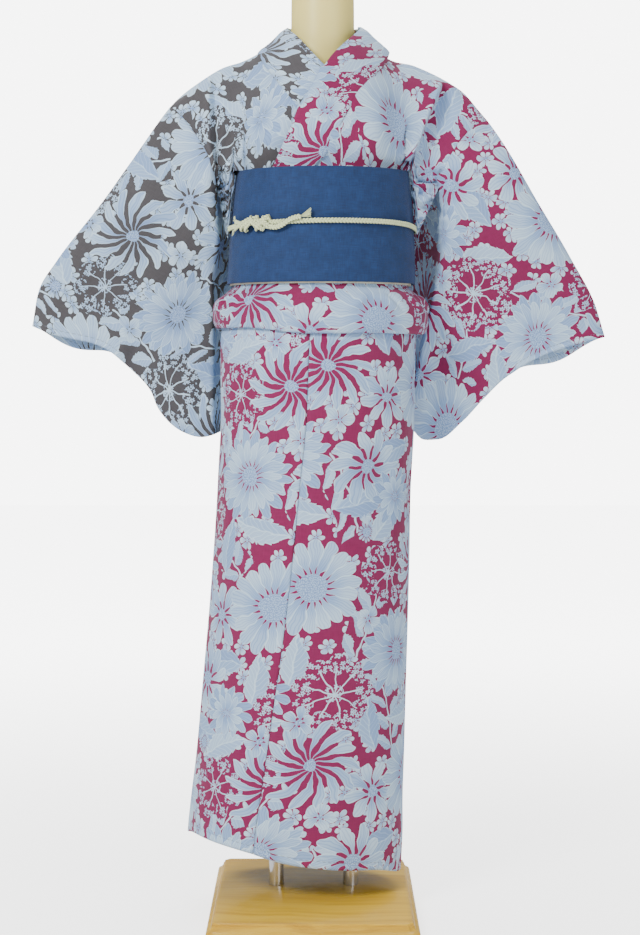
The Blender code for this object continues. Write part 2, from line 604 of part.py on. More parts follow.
def base_board():
    """A board with an ogee-moulded edge and clipped corners."""
    # inset from the outline, height
    profile = (
        (0.0015, 0.0), (0.0, 0.0015), (0.0, 0.0110), (0.0008, 0.0135), (0.0030, 0.0155), (0.0058, 0.0172),
        (0.0078, 0.0196), (0.0088, 0.0226), (0.0089, 0.0240), (0.0105, 0.0242), (0.0108, 0.0268), (0.0120, 0.0280),
    )
    rings = []
    for inset, z in profile:
        half_x = BOARD_WIDTH / 2 - inset
        half_y = BOARD_DEPTH / 2 - inset
        clip = BOARD_CORNER - inset * 0.4
        corners = (
            (half_x, -half_y + clip), (half_x, half_y - clip), (half_x - clip, half_y), (-half_x + clip, half_y),
            (-half_x, half_y - clip), (-half_x, -half_y + clip), (-half_x + clip, -half_y), (half_x - clip, -half_y),
        )
        rings.append([(x, y, z) for x, y in corners])
    solid_rings("base_board", np.array(rings), "maple")


def main():
    clear_scene()
    for side in ("right", "left"):
        upper_body(side)
        collar(side)
        sleeve(side)
    skirt()
    waist_fold("right", *FOLD_ANGLES["right"], 10)
    waist_fold("left", *FOLD_ANGLES["left"], 27)
    obi()
    cord()
    dress_form()
    pole("pole_right", -POLE_X)
    pole("pole_left", POLE_X)
    base_board()


main()
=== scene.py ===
import math

import bpy
import numpy as np
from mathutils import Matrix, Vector


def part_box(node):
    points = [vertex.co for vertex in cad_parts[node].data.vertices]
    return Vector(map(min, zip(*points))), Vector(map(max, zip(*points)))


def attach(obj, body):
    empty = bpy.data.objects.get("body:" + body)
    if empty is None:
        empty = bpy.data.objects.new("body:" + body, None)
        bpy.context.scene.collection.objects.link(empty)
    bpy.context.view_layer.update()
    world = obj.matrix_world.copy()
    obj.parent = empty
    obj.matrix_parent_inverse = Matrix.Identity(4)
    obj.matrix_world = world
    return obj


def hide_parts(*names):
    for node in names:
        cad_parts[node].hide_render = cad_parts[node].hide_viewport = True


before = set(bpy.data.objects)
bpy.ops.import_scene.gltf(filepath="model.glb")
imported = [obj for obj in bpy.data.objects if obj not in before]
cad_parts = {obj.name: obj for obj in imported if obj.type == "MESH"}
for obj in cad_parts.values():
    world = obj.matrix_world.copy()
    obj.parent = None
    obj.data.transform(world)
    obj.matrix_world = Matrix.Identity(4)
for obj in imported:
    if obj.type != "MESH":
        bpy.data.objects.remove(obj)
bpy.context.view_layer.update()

# Cotton yukata on a limbless form: every cloth piece is a thin shell worked out on a grid of two
# parameters, the print is drawn in the material from the cloth's own metres.

axisY = 0.025  # the figure's axis, front to back
neckX = 0.0138  # the middle of the neck and chest
waistX = 0.0105  # the middle of the waist


def through(rows, at, column=1):
    # cubic through a table's rows, flat at its turning points: in each gap the two values and the two slopes
    # are blended by the four Hermite weights of the share of the gap
    keys = np.array([row[0] for row in rows], float)
    values = np.array([row[column] for row in rows], float)
    slopes = np.gradient(values, keys)
    flat = (np.diff(values)[:-1] * np.diff(values)[1:]) <= 0
    slopes[1:-1][flat] = 0
    at = np.clip(np.asarray(at, float), keys[0], keys[-1])
    cell = np.clip(np.searchsorted(keys, at, side="right") - 1, 0, len(keys) - 2)
    span = keys[cell + 1] - keys[cell]
    u = (at - keys[cell]) / span
    return (values[cell] * (1 + 2 * u) * (1 - u) ** 2 + slopes[cell] * span * u * (1 - u) ** 2
            + values[cell + 1] * u * u * (3 - 2 * u) - slopes[cell + 1] * span * u * u * (1 - u))


def along(points, share):
    # points of a smooth curve at shares of its length
    points = np.array(points, float)
    length = runningLength(points, 0)
    rows = np.column_stack([length / length[-1], points])
    return np.stack([through(rows, share, column + 1) for column in range(points.shape[1])], axis=-1)


def ease(value):
    # 3v^2 - 2v^3 between 0 and 1
    value = np.clip(value, 0, 1)
    return value * value * (3 - 2 * value)


def rising(value, start, over):
    # 0 up to the start, 1 when the value is as much as over beyond it
    return ease((value - start) / over)


def falling(value, start, over):
    # 1 while the value is more than over below the start, 0 from the start on
    return ease((start - value) / over)


unevenness = {"waves": 5, "slowest": 0.6, "quickest": 1.7, "level": 2.6}


def wander(a, b, seed):
    # slow unevenness in about -1..1: a sum of slanted sines with seeded directions, phases and pitches
    rng = np.random.default_rng(seed)
    total = np.zeros(np.broadcast(a, b).shape)
    for _ in range(unevenness["waves"]):
        turn, phase = rng.uniform(0, 2 * math.pi, 2)
        pitch = rng.uniform(unevenness["slowest"], unevenness["quickest"])
        slanted = (a * math.cos(turn) + b * math.sin(turn)) * pitch
        total = total + np.sin(slanted + phase) / unevenness["level"]
    return total


def normalsOf(points, closedU=False):
    # cross product of the grid's two differences, made unit length
    if closedU:
        wide = np.concatenate([points[-2:-1], points, points[1:2]])
        alongU = wide[2:] - wide[:-2]
    else:
        alongU = np.gradient(points, axis=0)
    alongV = np.gradient(points, axis=1)
    cross = np.cross(alongU, alongV)
    return cross / np.maximum(np.linalg.norm(cross, axis=-1, keepdims=True), 1e-12)


def runningLength(points, axis):
    # distance along one grid direction, from its first line
    steps = np.linalg.norm(np.diff(points, axis=axis), axis=-1)
    first = np.zeros_like(np.take(steps, [0], axis=axis))
    return np.concatenate([first, np.cumsum(steps, axis=axis)], axis=axis)


# a crease tapers over this share of its length at each end. A pleat starts before its line by the lead,
# and the dip beyond it has these shares of its depth and reach
folding = {"taper": 0.3, "lead": 0.12, "dip": 0.45, "dipReach": 0.4}


def creaseHeight(x, z, rows):
    # each row is a soft ridge (or a trough, if its depth is negative) from (x0, z0) to (x1, z1):
    # depth * exp(-(distance / width)^2), tapering to nothing at both ends
    height = np.zeros(np.broadcast(x, z).shape)
    for x0, z0, x1, z1, width, depth in rows:
        dx, dz = x1 - x0, z1 - z0
        size = dx * dx + dz * dz
        share = np.clip(((x - x0) * dx + (z - z0) * dz) / size, 0, 1)
        away = np.hypot(x - x0 - share * dx, z - z0 - share * dz)
        taper = ease(np.minimum(share, 1 - share) / folding["taper"])
        height = height + depth * np.exp(-(away / width) ** 2) * taper
    return height


def tuckHeight(x, z, rows):
    # a pleat: on the near side of the line from (x0, z0) to (x1, z1) the cloth stands up, beyond it it dips:
    # depth * (step * exp(-near distance / reach) - (1 - step) * dip * exp(-far distance / its reach)), where
    # step is a sigmoid of the distance from the line over the edge's width
    height = np.zeros(np.broadcast(x, z).shape)
    for x0, z0, x1, z1, edge, reach, depth in rows:
        dx, dz = x1 - x0, z1 - z0
        long = math.hypot(dx, dz)
        share = ((x - x0) * dx + (z - z0) * dz) / long ** 2
        side = ((x - x0) * dz - (z - z0) * dx) / long
        taper = rising(share, -folding["lead"], folding["taper"])
        taper = taper * falling(share, 1 + folding["lead"], folding["taper"])
        step = 1 / (1 + np.exp(np.clip(side / edge, -40, 40)))  # clipped so that exp stays finite
        fall = np.exp(-np.clip(-side, 0, None) / reach)
        dip = folding["dip"] * np.exp(-np.clip(side, 0, None) / (folding["dipReach"] * reach))
        height = height + depth * (step * fall - (1 - step) * dip) * taper
    return height


def linkPiece(name, mesh, material):
    mesh.materials.append(material)
    piece = bpy.data.objects.new(name, mesh)
    bpy.context.scene.collection.objects.link(piece)
    return piece


def gridObject(name, points, material, uv=None, edge=None, closedU=False, wall=0.001):
    # quads over points[u, v, 3]; a closed grid repeats its first line as its last one. The wall is half to
    # each side, and edge holds each point's distance from the finished edge
    countU, countV = points.shape[:2]
    label = np.arange(countU * countV).reshape(countU, countV)
    owner = label.copy()
    if closedU:
        owner[-1] = owner[0]
    quads = np.stack([label[:-1, :-1], label[1:, :-1], label[1:, 1:], label[:-1, 1:]], axis=-1)
    quads = quads.reshape(-1, 4)
    vertices = points.reshape(-1, 3)
    if closedU:
        vertices = points[:-1].reshape(-1, 3)
    faces = owner.reshape(-1)[quads]
    mesh = bpy.data.meshes.new(name)
    mesh.vertices.add(len(vertices))
    mesh.vertices.foreach_set("co", vertices.astype(np.float32).ravel())
    mesh.loops.add(faces.size)
    mesh.loops.foreach_set("vertex_index", faces.astype(np.int32).ravel())
    mesh.polygons.add(len(faces))
    mesh.polygons.foreach_set("loop_start", np.arange(0, faces.size, 4, dtype=np.int32))
    mesh.polygons.foreach_set("use_smooth", np.ones(len(faces), bool))
    mesh.update(calc_edges=True)
    if uv is not None:
        layer = mesh.uv_layers.new(name="cloth")
        layer.data.foreach_set("uv", uv.reshape(-1, 2)[quads.ravel()].astype(np.float32).ravel())
    if edge is not None:
        held = mesh.attributes.new("edge", "FLOAT", "POINT")
        away = np.broadcast_to(edge, points.shape[:2]).reshape(-1)[:len(vertices)]
        held.data.foreach_set("value", away.astype(np.float32))
    mesh.validate()
    piece = linkPiece(name, mesh, material)
    if wall:
        solid = piece.modifiers.new("wall", "SOLIDIFY")
        solid.thickness = wall
        solid.offset = 0.0
    return piece


def finishPiece(piece, nodes=()):
    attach(piece, "root")
    if nodes:
        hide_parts(*nodes)
    return piece


def feed(tree, socket, value):
    if isinstance(value, bpy.types.NodeSocket):
        tree.links.new(value, socket)
    elif value is not None:
        socket.default_value = value


def sums(tree, operation, a, b=None, c=None, clamp=False):
    node = tree.nodes.new("ShaderNodeMath")
    node.operation = operation
    node.use_clamp = clamp
    for socket, value in zip(node.inputs, (a, b, c)):
        feed(tree, socket, value)
    return node.outputs[0]


def times(tree, a, b):
    return sums(tree, "MULTIPLY", a, b)


def timesPlus(tree, a, b, c):
    return sums(tree, "MULTIPLY_ADD", a, b, c)


def plus(tree, a, b):
    return sums(tree, "ADD", a, b)


def minus(tree, a, b):
    return sums(tree, "SUBTRACT", a, b)


def less(tree, a, b):
    return sums(tree, "LESS_THAN", a, b)


def vectors(tree, operation, a, b=None, scale=None):
    node = tree.nodes.new("ShaderNodeVectorMath")
    node.operation = operation
    feed(tree, node.inputs[0], a)
    if b is not None:
        feed(tree, node.inputs[1], b)
    if scale is not None:
        feed(tree, node.inputs["Scale"], scale)
    return node.outputs["Value" if operation in ("LENGTH", "DOT_PRODUCT", "DISTANCE") else "Vector"]


def ranged(tree, value, low, high, toLow=0.0, toHigh=1.0, smooth=True):
    node = tree.nodes.new("ShaderNodeMapRange")
    node.interpolation_type = "SMOOTHSTEP" if smooth else "LINEAR"
    for socket, given in zip(node.inputs[:5], (value, low, high, toLow, toHigh)):
        feed(tree, socket, given)
    return node.outputs[0]


def blended(tree, share, a, b, kind="FLOAT"):
    node = tree.nodes.new("ShaderNodeMix")
    node.data_type = kind
    places = {"FLOAT": (2, 3, 0), "RGBA": (6, 7, 2)}[kind]
    feed(tree, node.inputs[0], share)
    feed(tree, node.inputs[places[0]], a)
    feed(tree, node.inputs[places[1]], b)
    return node.outputs[places[2]]


def splitXyz(tree, value):
    node = tree.nodes.new("ShaderNodeSeparateXYZ")
    feed(tree, node.inputs[0], value)
    return node.outputs[0], node.outputs[1], node.outputs[2]


def joinXyz(tree, x, y, z=0.0):
    node = tree.nodes.new("ShaderNodeCombineXYZ")
    for socket, value in zip(node.inputs, (x, y, z)):
        feed(tree, socket, value)
    return node.outputs[0]


def noise(tree, at, scale, detail=2.0, rough=0.5, dimensions="3D"):
    node = tree.nodes.new("ShaderNodeTexNoise")
    node.noise_dimensions = dimensions
    feed(tree, node.inputs["Vector"], at)
    feed(tree, node.inputs["Scale"], scale)
    feed(tree, node.inputs["Detail"], detail)
    feed(tree, node.inputs["Roughness"], rough)
    return node.outputs["Fac"]


def voronoi(tree, at, random=1.0):
    node = tree.nodes.new("ShaderNodeTexVoronoi")
    node.voronoi_dimensions = "2D"
    feed(tree, node.inputs["Vector"], at)
    node.inputs["Scale"].default_value = 1.0
    node.inputs["Randomness"].default_value = random
    return node.outputs


def newGroup(name, inputs, outputs):
    group = bpy.data.node_groups.new(name, "ShaderNodeTree")
    for label, kind, value in inputs:
        socket = group.interface.new_socket(label, in_out="INPUT", socket_type=kind)
        if value is not None:
            socket.default_value = value
    for label, kind in outputs:
        group.interface.new_socket(label, in_out="OUTPUT", socket_type=kind)
    given = group.nodes.new("NodeGroupInput")
    result = group.nodes.new("NodeGroupOutput")
    return group, given.outputs, result.inputs


def useGroup(tree, group, **given):
    node = tree.nodes.new("ShaderNodeGroup")
    node.node_tree = group
    for label, value in given.items():
        feed(tree, node.inputs[label], value)
    return node.outputs


number = "NodeSocketFloat"
arrow = "NodeSocketVector"

# the printed pattern, in centimetres of cloth: one cell of the repeat, and the pitch of the loose blossoms
printCell = {"width": 38.0, "height": 29.0, "fill": 3.1}


def makePlaceGroup():
    # one motif for each cell of a half-drop repeat: q = (cloth - centre) / cell, the row number's parity
    # slides q.x by a half, and the part of q about its nearest whole number is turned by the motif's angle
    tree, given, result = newGroup("printPlace", (
        ("Cloth", arrow, None), ("Centre", arrow, None), ("Turn", number, 0.0), ("Other turn", number, 0.0),
    ), (("Local", arrow), ("Row", number)))
    away = vectors(tree, "SUBTRACT", given["Cloth"], given["Centre"])
    cells = vectors(tree, "DIVIDE", away, (printCell["width"], printCell["height"], 1.0))
    x, y, marks = splitXyz(tree, cells)
    row = sums(tree, "ROUND", y)
    odd = sums(tree, "PINGPONG", row, 1.0)
    slid = timesPlus(tree, odd, 0.5, x)
    column = sums(tree, "ROUND", slid)
    localX = times(tree, minus(tree, slid, column), printCell["width"])
    localY = times(tree, minus(tree, y, row), printCell["height"])
    turned = tree.nodes.new("ShaderNodeVectorRotate")
    turned.rotation_type = "Z_AXIS"
    feed(tree, turned.inputs["Vector"], joinXyz(tree, localX, localY, marks))
    feed(tree, turned.inputs["Angle"], timesPlus(tree, odd, given["Other turn"], given["Turn"]))
    feed(tree, result["Local"], turned.outputs[0])
    feed(tree, result["Row"], odd)
    return tree


def makeMarksGroup():
    # two small textures under every motif, packed as dots + 2 * floret: dots from 0 to 1 stipple the discs,
    # a floret is a five-lobed star where the distance to its cell's point is below 0.36 + 0.12 cos(5 angle)
    tree, given, result = newGroup("printMarks", (
        ("Cloth", arrow, None), ("Dots", number, 5.2), ("Floret", number, 0.8),
    ), (("Packed", arrow), ("Small", arrow)))
    dots = voronoi(tree, vectors(tree, "SCALE", given["Cloth"], scale=given["Dots"]))
    stipple = ranged(tree, dots["Distance"], 0.22, 0.46, 0.98, 0.0)
    size = sums(tree, "DIVIDE", 1.0, given["Floret"])
    small = vectors(tree, "SCALE", given["Cloth"], scale=size)
    cells = voronoi(tree, small, 0.72)
    inCell = vectors(tree, "SUBTRACT", small, cells["Position"])
    cellX, cellY, _ = splitXyz(tree, inCell)
    lobes = sums(tree, "COSINE", times(tree, sums(tree, "ARCTAN2", cellY, cellX), 5.0))
    edge = timesPlus(tree, lobes, 0.12, 0.36)
    star = less(tree, cells["Distance"], edge)
    eye = sums(tree, "GREATER_THAN", cells["Distance"], 0.09)
    x, y, _ = splitXyz(tree, given["Cloth"])
    packed = timesPlus(tree, times(tree, star, eye), 2.0, stipple)
    feed(tree, result["Packed"], joinXyz(tree, x, y, packed))
    # larger loose blossoms, each in its own cell, fill the ground between the motifs
    loose = voronoi(tree, vectors(tree, "SCALE", given["Cloth"], scale=1 / printCell["fill"]), 0.8)
    middle = vectors(tree, "SCALE", loose["Position"], scale=printCell["fill"])
    lx, ly, _ = splitXyz(tree, vectors(tree, "SUBTRACT", given["Cloth"], middle))
    feed(tree, result["Small"], joinXyz(tree, lx, ly, packed))
    return tree


def flatLength(tree, x, y):
    return sums(tree, "SQRT", timesPlus(tree, x, x, times(tree, y, y)))


def makeFlowerGroup():
    # petals in polar form: a = petals * (angle + swirl * r), f = twice the distance of a from its whole
    # number; ink where f < fullness * (1 - tip^2.4)^point * foot: point 0.5 is a round tip, 1 a sharp one
    tree, given, result = newGroup("printFlower", (
        ("Local", arrow, None), ("Radius", number, 6.0), ("Petals", number, 16.0), ("Disc", number, 0.27),
        ("Swirl", number, 0.0), ("Full", number, 1.0), ("Foot", number, 0.7), ("Slit", number, 0.2),
        ("Tip", number, 0.62), ("Point", number, 0.5), ("Tone", number, 0.5), ("Seed", number, 0.0),
    ), (("Cover", number), ("Ink", number), ("Shade", number)))
    x, y, marks = splitXyz(tree, given["Local"])
    far = sums(tree, "DIVIDE", flatLength(tree, x, y), given["Radius"])
    angle = sums(tree, "DIVIDE", sums(tree, "ARCTAN2", y, x), 2 * math.pi)
    swirled = timesPlus(tree, far, given["Swirl"], angle)
    spoke = times(tree, swirled, given["Petals"])
    petal = sums(tree, "ROUND", spoke)
    side = times(tree, sums(tree, "ABSOLUTE", minus(tree, spoke, petal)), 2.0)
    which = sums(tree, "FLOORED_MODULO", petal, given["Petals"])
    chance = tree.nodes.new("ShaderNodeTexWhiteNoise")
    chance.noise_dimensions = "1D"
    feed(tree, chance.inputs["W"], plus(tree, which, given["Seed"]))
    luck = chance.outputs["Value"]
    reach = times(tree, far, timesPlus(tree, luck, 0.16, 0.92))
    tip = ranged(tree, reach, given["Tip"], 1.0, smooth=False)
    rounded = sums(tree, "POWER", minus(tree, 1.0, sums(tree, "POWER", tip, 2.4)), given["Point"])
    foot = ranged(tree, far, given["Disc"], plus(tree, given["Disc"], given["Slit"]), given["Foot"], 1.0)
    width = times(tree, times(tree, rounded, foot), given["Full"])
    blade = less(tree, side, width)
    disc = less(tree, far, given["Disc"])
    ink = sums(tree, "MAXIMUM", blade, disc)
    near = less(tree, far, timesPlus(tree, given["Slit"], 0.8, given["Disc"]))
    feed(tree, result["Cover"], sums(tree, "MAXIMUM", ink, near))
    feed(tree, result["Ink"], ink)
    # fine dark lines along the petal, a light outline, a darker foot, a stippled disc
    bent = timesPlus(tree, far, 3.0, times(tree, luck, 9.0))
    lines = sums(tree, "SINE", timesPlus(tree, side, 17.0, bent))
    lines = times(tree, sums(tree, "MAXIMUM", lines, 0.0), -0.17)
    inner = minus(tree, sums(tree, "MINIMUM", width, 1.0), side)
    rim = ranged(tree, inner, 0.03, 0.17, 0.34, 0.0)
    deep = ranged(tree, far, given["Disc"], 0.8, -0.2, 0.04)
    shade = timesPlus(tree, luck, 0.22, given["Tone"])
    shade = plus(tree, plus(tree, shade, lines), plus(tree, rim, deep))
    stipple = timesPlus(tree, sums(tree, "FLOORED_MODULO", marks, 2.0), 0.4, 0.34)
    feed(tree, result["Shade"], blended(tree, disc, shade, stipple))
    return tree


def makeLeafGroup():
    # a leaf from (0, 0) to (length, 0), bent as y - bend * u (1 - u): ink where |y| / length is below
    # width * sin(pi * u^0.8) * (1 - saw teeth), with a light midrib and slanted veins
    tree, given, result = newGroup("printLeaf", (
        ("Local", arrow, None), ("Length", number, 8.0), ("Width", number, 0.22), ("Teeth", number, 9.0),
        ("Bend", number, 0.2), ("Tone", number, 0.5),
    ), (("Ink", number), ("Shade", number)))
    x, y, _ = splitXyz(tree, given["Local"])
    u = sums(tree, "DIVIDE", x, given["Length"], clamp=True)
    bow = times(tree, times(tree, u, minus(tree, 1.0, u)), given["Bend"])
    across = minus(tree, sums(tree, "DIVIDE", y, given["Length"]), bow)
    away = sums(tree, "ABSOLUTE", across)
    swell = sums(tree, "SINE", times(tree, sums(tree, "POWER", u, 0.8), math.pi))
    teeth = sums(tree, "FRACT", times(tree, u, given["Teeth"]))
    ragged = timesPlus(tree, teeth, -0.17, 1.0)
    width = times(tree, times(tree, swell, ragged), given["Width"])
    feed(tree, result["Ink"], less(tree, away, width))
    slant = times(tree, timesPlus(tree, away, -1.3, u), given["Teeth"])
    vein = less(tree, sums(tree, "FRACT", slant), 0.16)
    fine = sums(tree, "MAXIMUM", sums(tree, "SINE", times(tree, slant, 25.0)), 0.0)
    rib = less(tree, away, 0.012)
    rim = ranged(tree, minus(tree, width, away), 0.006, 0.022, 0.24, 0.0)
    half = timesPlus(tree, sums(tree, "SIGN", across), 0.06, given["Tone"])
    shade = plus(tree, timesPlus(tree, vein, 0.18, half), rim)
    shade = timesPlus(tree, fine, -0.13, shade)
    feed(tree, result["Shade"], timesPlus(tree, rib, 0.24, shade))
    return tree


def makeSprigGroup(leaf):
    # a stem along x with small leaves: |y| folds the two sides together, x is cut into equal steps, the
    # second side half a step on, and each step holds one leaf turned away from the stem
    tree, given, result = newGroup("printSprig", (
        ("Local", arrow, None), ("Length", number, 12.0), ("Step", number, 3.2), ("Leaf", number, 3.9),
        ("Bow", number, 0.02), ("Tone", number, 0.7),
    ), (("Cover", number), ("Ink", number), ("Shade", number)))
    x, y, marks = splitXyz(tree, given["Local"])
    sag = times(tree, given["Bow"], -1.0)
    bowed = timesPlus(tree, times(tree, x, x), sag, y)
    away = sums(tree, "ABSOLUTE", bowed)
    halfStep = times(tree, given["Step"], 0.5)
    shift = times(tree, sums(tree, "GREATER_THAN", bowed, 0.0), halfStep)
    slid = timesPlus(tree, away, -0.75, plus(tree, x, shift))
    inStep = minus(tree, sums(tree, "FLOORED_MODULO", slid, given["Step"]), halfStep)
    leafX = times(tree, minus(tree, away, 0.25), 1.25)
    made = useGroup(tree, leaf, Local=joinXyz(tree, leafX, inStep, marks), Length=given["Leaf"], Width=0.31,
                    Teeth=7.0, Bend=0.12, Tone=given["Tone"])
    near = sums(tree, "GREATER_THAN", x, 0.0)
    inside = times(tree, near, less(tree, x, given["Length"]))
    stem = less(tree, away, 0.13)
    offStem = sums(tree, "GREATER_THAN", away, 0.25)
    ink = sums(tree, "MAXIMUM", times(tree, made["Ink"], offStem), stem)
    reach = less(tree, away, times(tree, given["Leaf"], 0.8))
    feed(tree, result["Cover"], times(tree, inside, reach))
    feed(tree, result["Ink"], ink)
    feed(tree, result["Shade"], blended(tree, stem, made["Shade"], 0.85))
    return tree


def makeUmbelGroup():
    # rays from the middle to a ring of round heads, each head filled with the small florets
    tree, given, result = newGroup("printUmbel", (
        ("Local", arrow, None), ("Radius", number, 5.0), ("Rays", number, 9.0), ("Tone", number, 0.6),
    ), (("Cover", number), ("Ink", number), ("Shade", number)))
    x, y, marks = splitXyz(tree, given["Local"])
    far = sums(tree, "DIVIDE", flatLength(tree, x, y), given["Radius"])
    angle = sums(tree, "DIVIDE", sums(tree, "ARCTAN2", y, x), 2 * math.pi)
    spoke = times(tree, angle, given["Rays"])
    off = sums(tree, "DIVIDE", minus(tree, spoke, sums(tree, "ROUND", spoke)), given["Rays"])
    turn = times(tree, off, 2 * math.pi)
    acrossRay = times(tree, far, sums(tree, "SINE", turn))
    downRay = times(tree, far, sums(tree, "COSINE", turn))
    fromHead = flatLength(tree, minus(tree, downRay, 0.74), acrossRay)
    head = less(tree, sums(tree, "MINIMUM", fromHead, plus(tree, far, 0.02)), 0.25)
    ray = less(tree, sums(tree, "ABSOLUTE", acrossRay), 0.016)
    ray = times(tree, ray, less(tree, far, 0.7))
    floret = sums(tree, "GREATER_THAN", marks, 1.5)
    feed(tree, result["Ink"], sums(tree, "MAXIMUM", times(tree, head, floret), ray))
    feed(tree, result["Cover"], sums(tree, "MAXIMUM", head, less(tree, far, 0.8)))
    feed(tree, result["Shade"], timesPlus(tree, ray, 0.12, given["Tone"]))
    return tree


# what is printed in one cell, from the lowest layer up. Places and sizes in centimetres, turns in degrees
sprigs = (
    # x, y, length, step, leaf, turn, other turn, bow, tone
    (13.0, 10.0, 13.0, 3.3, 4.0, 30, 30, 0.02, 0.66),
    (27.5, 11.0, 12.0, 3.1, 3.7, -55, -25, -0.022, 0.7),
    (1.5, 25.0, 12.0, 3.2, 3.8, 95, 35, 0.018, 0.6),
)
leaves = (
    # x, y, length, width, turn, other turn, bend, tone
    (28.5, 3.0, 9.0, 0.24, 15, -30, -0.22, 0.5),
    (27.5, 2.0, 9.0, 0.22, 165, 25, 0.2, 0.66),
    (20.0, 17.5, 8.0, 0.24, 100, -20, 0.22, 0.56),
    (3.0, 12.0, 9.0, 0.23, 200, -15, -0.2, 0.5),
    (15.5, 27.0, 8.5, 0.24, 20, 25, 0.2, 0.68),
    (36.0, 25.0, 8.5, 0.23, 100, -20, 0.18, 0.52),
    (4.5, 6.0, 8.0, 0.24, 60, 25, -0.18, 0.66),
)
umbels = (
    # x, y, radius, rays, turn, tone
    (10.5, 5.0, 5.8, 9, 0, 0.74),
    (18.5, 22.3, 4.8, 8, 20, 0.66),
)
flowers = (
    # x, y, radius, petals, disc, swirl, full, foot, slit, tip, point, turn, tone
    (36.0, 19.0, 4.6, 9, 0.18, 0.0, 0.86, 0.45, 0.3, 0.5, 0.5, 10, 0.58),
    (27.0, 23.5, 6.8, 14, 0.12, 0.09, 0.7, 0.25, 0.6, 0.52, 0.7, 0, 0.52),
    (21.0, 10.5, 6.5, 20, 0.27, 0.0, 1.04, 0.9, 0.24, 0.62, 0.8, 4, 0.44),
    (21.0, 10.5, 5.4, 18, 0.25, 0.02, 0.98, 0.6, 0.26, 0.6, 0.7, 13, 0.58),
    (7.0, 20.5, 6.8, 18, 0.3, 0.0, 1.04, 0.55, 0.22, 0.68, 0.5, 0, 0.6),
    (33.0, 9.0, 5.4, 10, 0.2, -0.07, 0.84, 0.45, 0.4, 0.52, 0.6, 25, 0.58),
    (0.5, 4.5, 4.3, 13, 0.16, 0.03, 1.0, 0.9, 0.2, 0.5, 0.95, 0, 0.42),
    (0.5, 4.5, 3.1, 10, 0.16, -0.03, 1.0, 0.8, 0.2, 0.45, 0.9, 15, 0.58),
    (28.5, 15.8, 2.1, 5, 0.16, 0.0, 0.9, 0.6, 0.2, 0.45, 0.5, 0, 0.7),
    (15.0, 15.6, 2.0, 5, 0.16, 0.0, 0.92, 0.6, 0.2, 0.45, 0.5, 30, 0.64),
    (14.5, 28.5, 1.7, 16, 0.45, 0.0, 0.7, 0.7, 0.2, 0.8, 0.6, 0, 0.56),
    (25.0, 29.8, 2.2, 6, 0.18, 0.0, 0.86, 0.5, 0.2, 0.5, 0.5, 40, 0.6),
)
otherTurn = {"umbel": 0.6, "flower": 0.9}  # in every second row a motif is turned by as much more, in radians


def makePrintGroup():
    # motifs laid over one another: shade = mix(shade, motif shade, cover), ink = mix(ink, motif ink, cover)
    tree, given, result = newGroup("yukataPrint", (("Cloth", arrow, None),),
                                   (("Ink", number), ("Shade", number)))
    place = makePlaceGroup()
    flower = makeFlowerGroup()
    leaf = makeLeafGroup()
    sprig = makeSprigGroup(leaf)
    umbel = makeUmbelGroup()
    # the hand-drawn line is never quite even
    drift = tree.nodes.new("ShaderNodeTexNoise")
    drift.noise_dimensions = "2D"
    feed(tree, drift.inputs["Vector"], given["Cloth"])
    drift.inputs["Scale"].default_value = 0.45
    drift.inputs["Detail"].default_value = 1.0
    shift = vectors(tree, "SUBTRACT", drift.outputs["Color"], (0.5, 0.5, 0.5))
    flat = vectors(tree, "MULTIPLY", vectors(tree, "SCALE", shift, scale=0.9), (1.0, 1.0, 0.0))
    marks = useGroup(tree, makeMarksGroup(), Cloth=vectors(tree, "ADD", given["Cloth"], flat))
    cloth = marks["Packed"]

    def placed(x, y, turn, other):
        return useGroup(tree, place, Cloth=cloth, Centre=(x, y, 0), Turn=turn, **{"Other turn": other})

    def laidOver(made, ink, shade):
        cover = made["Cover"]
        return blended(tree, cover, ink, made["Ink"]), blended(tree, cover, shade, made["Shade"])

    small = useGroup(tree, flower, Local=marks["Small"], Radius=1.25, Petals=6.0, Disc=0.18, Full=0.86,
                     Foot=0.5, Tip=0.5, Tone=0.68)
    ink, shade = small["Ink"], small["Shade"]
    for x, y, length, step, leafSize, turn, other, bow, tone in sprigs:
        at = placed(x, y, math.radians(-turn), math.radians(-other))
        made = useGroup(tree, sprig, Local=at["Local"], Length=length, Step=step, Leaf=leafSize, Bow=bow,
                        Tone=tone)
        ink, shade = laidOver(made, ink, shade)
    for x, y, length, width, turn, other, bend, tone in leaves:
        at = placed(x, y, math.radians(-turn), math.radians(-other))
        made = useGroup(tree, leaf, Local=at["Local"], Length=length, Width=width, Bend=bend, Tone=tone)
        ink = sums(tree, "MAXIMUM", ink, made["Ink"])
        shade = blended(tree, made["Ink"], shade, made["Shade"])
    for x, y, radius, rays, turn, tone in umbels:
        at = placed(x, y, math.radians(turn), otherTurn["umbel"])
        made = useGroup(tree, umbel, Local=at["Local"], Radius=radius, Rays=rays, Tone=tone)
        ink, shade = laidOver(made, ink, shade)
    for row, spec in enumerate(flowers):
        x, y, radius, petals, disc, swirl, full, foot, slit, tip, point, turn, tone = spec
        at = placed(x, y, math.radians(turn), otherTurn["flower"])
        # each flower, and each of its two rows, has its own uneven petals
        seed = timesPlus(tree, at["Row"], 41.0, row * 23.0)
        made = useGroup(tree, flower, Local=at["Local"], Radius=radius, Petals=petals, Disc=disc, Swirl=swirl,
                        Full=full, Foot=foot, Slit=slit, Tip=tip, Point=point, Tone=tone, Seed=seed)
        ink, shade = laidOver(made, ink, shade)
    feed(tree, result["Ink"], ink)
    feed(tree, result["Shade"], shade)
    return tree


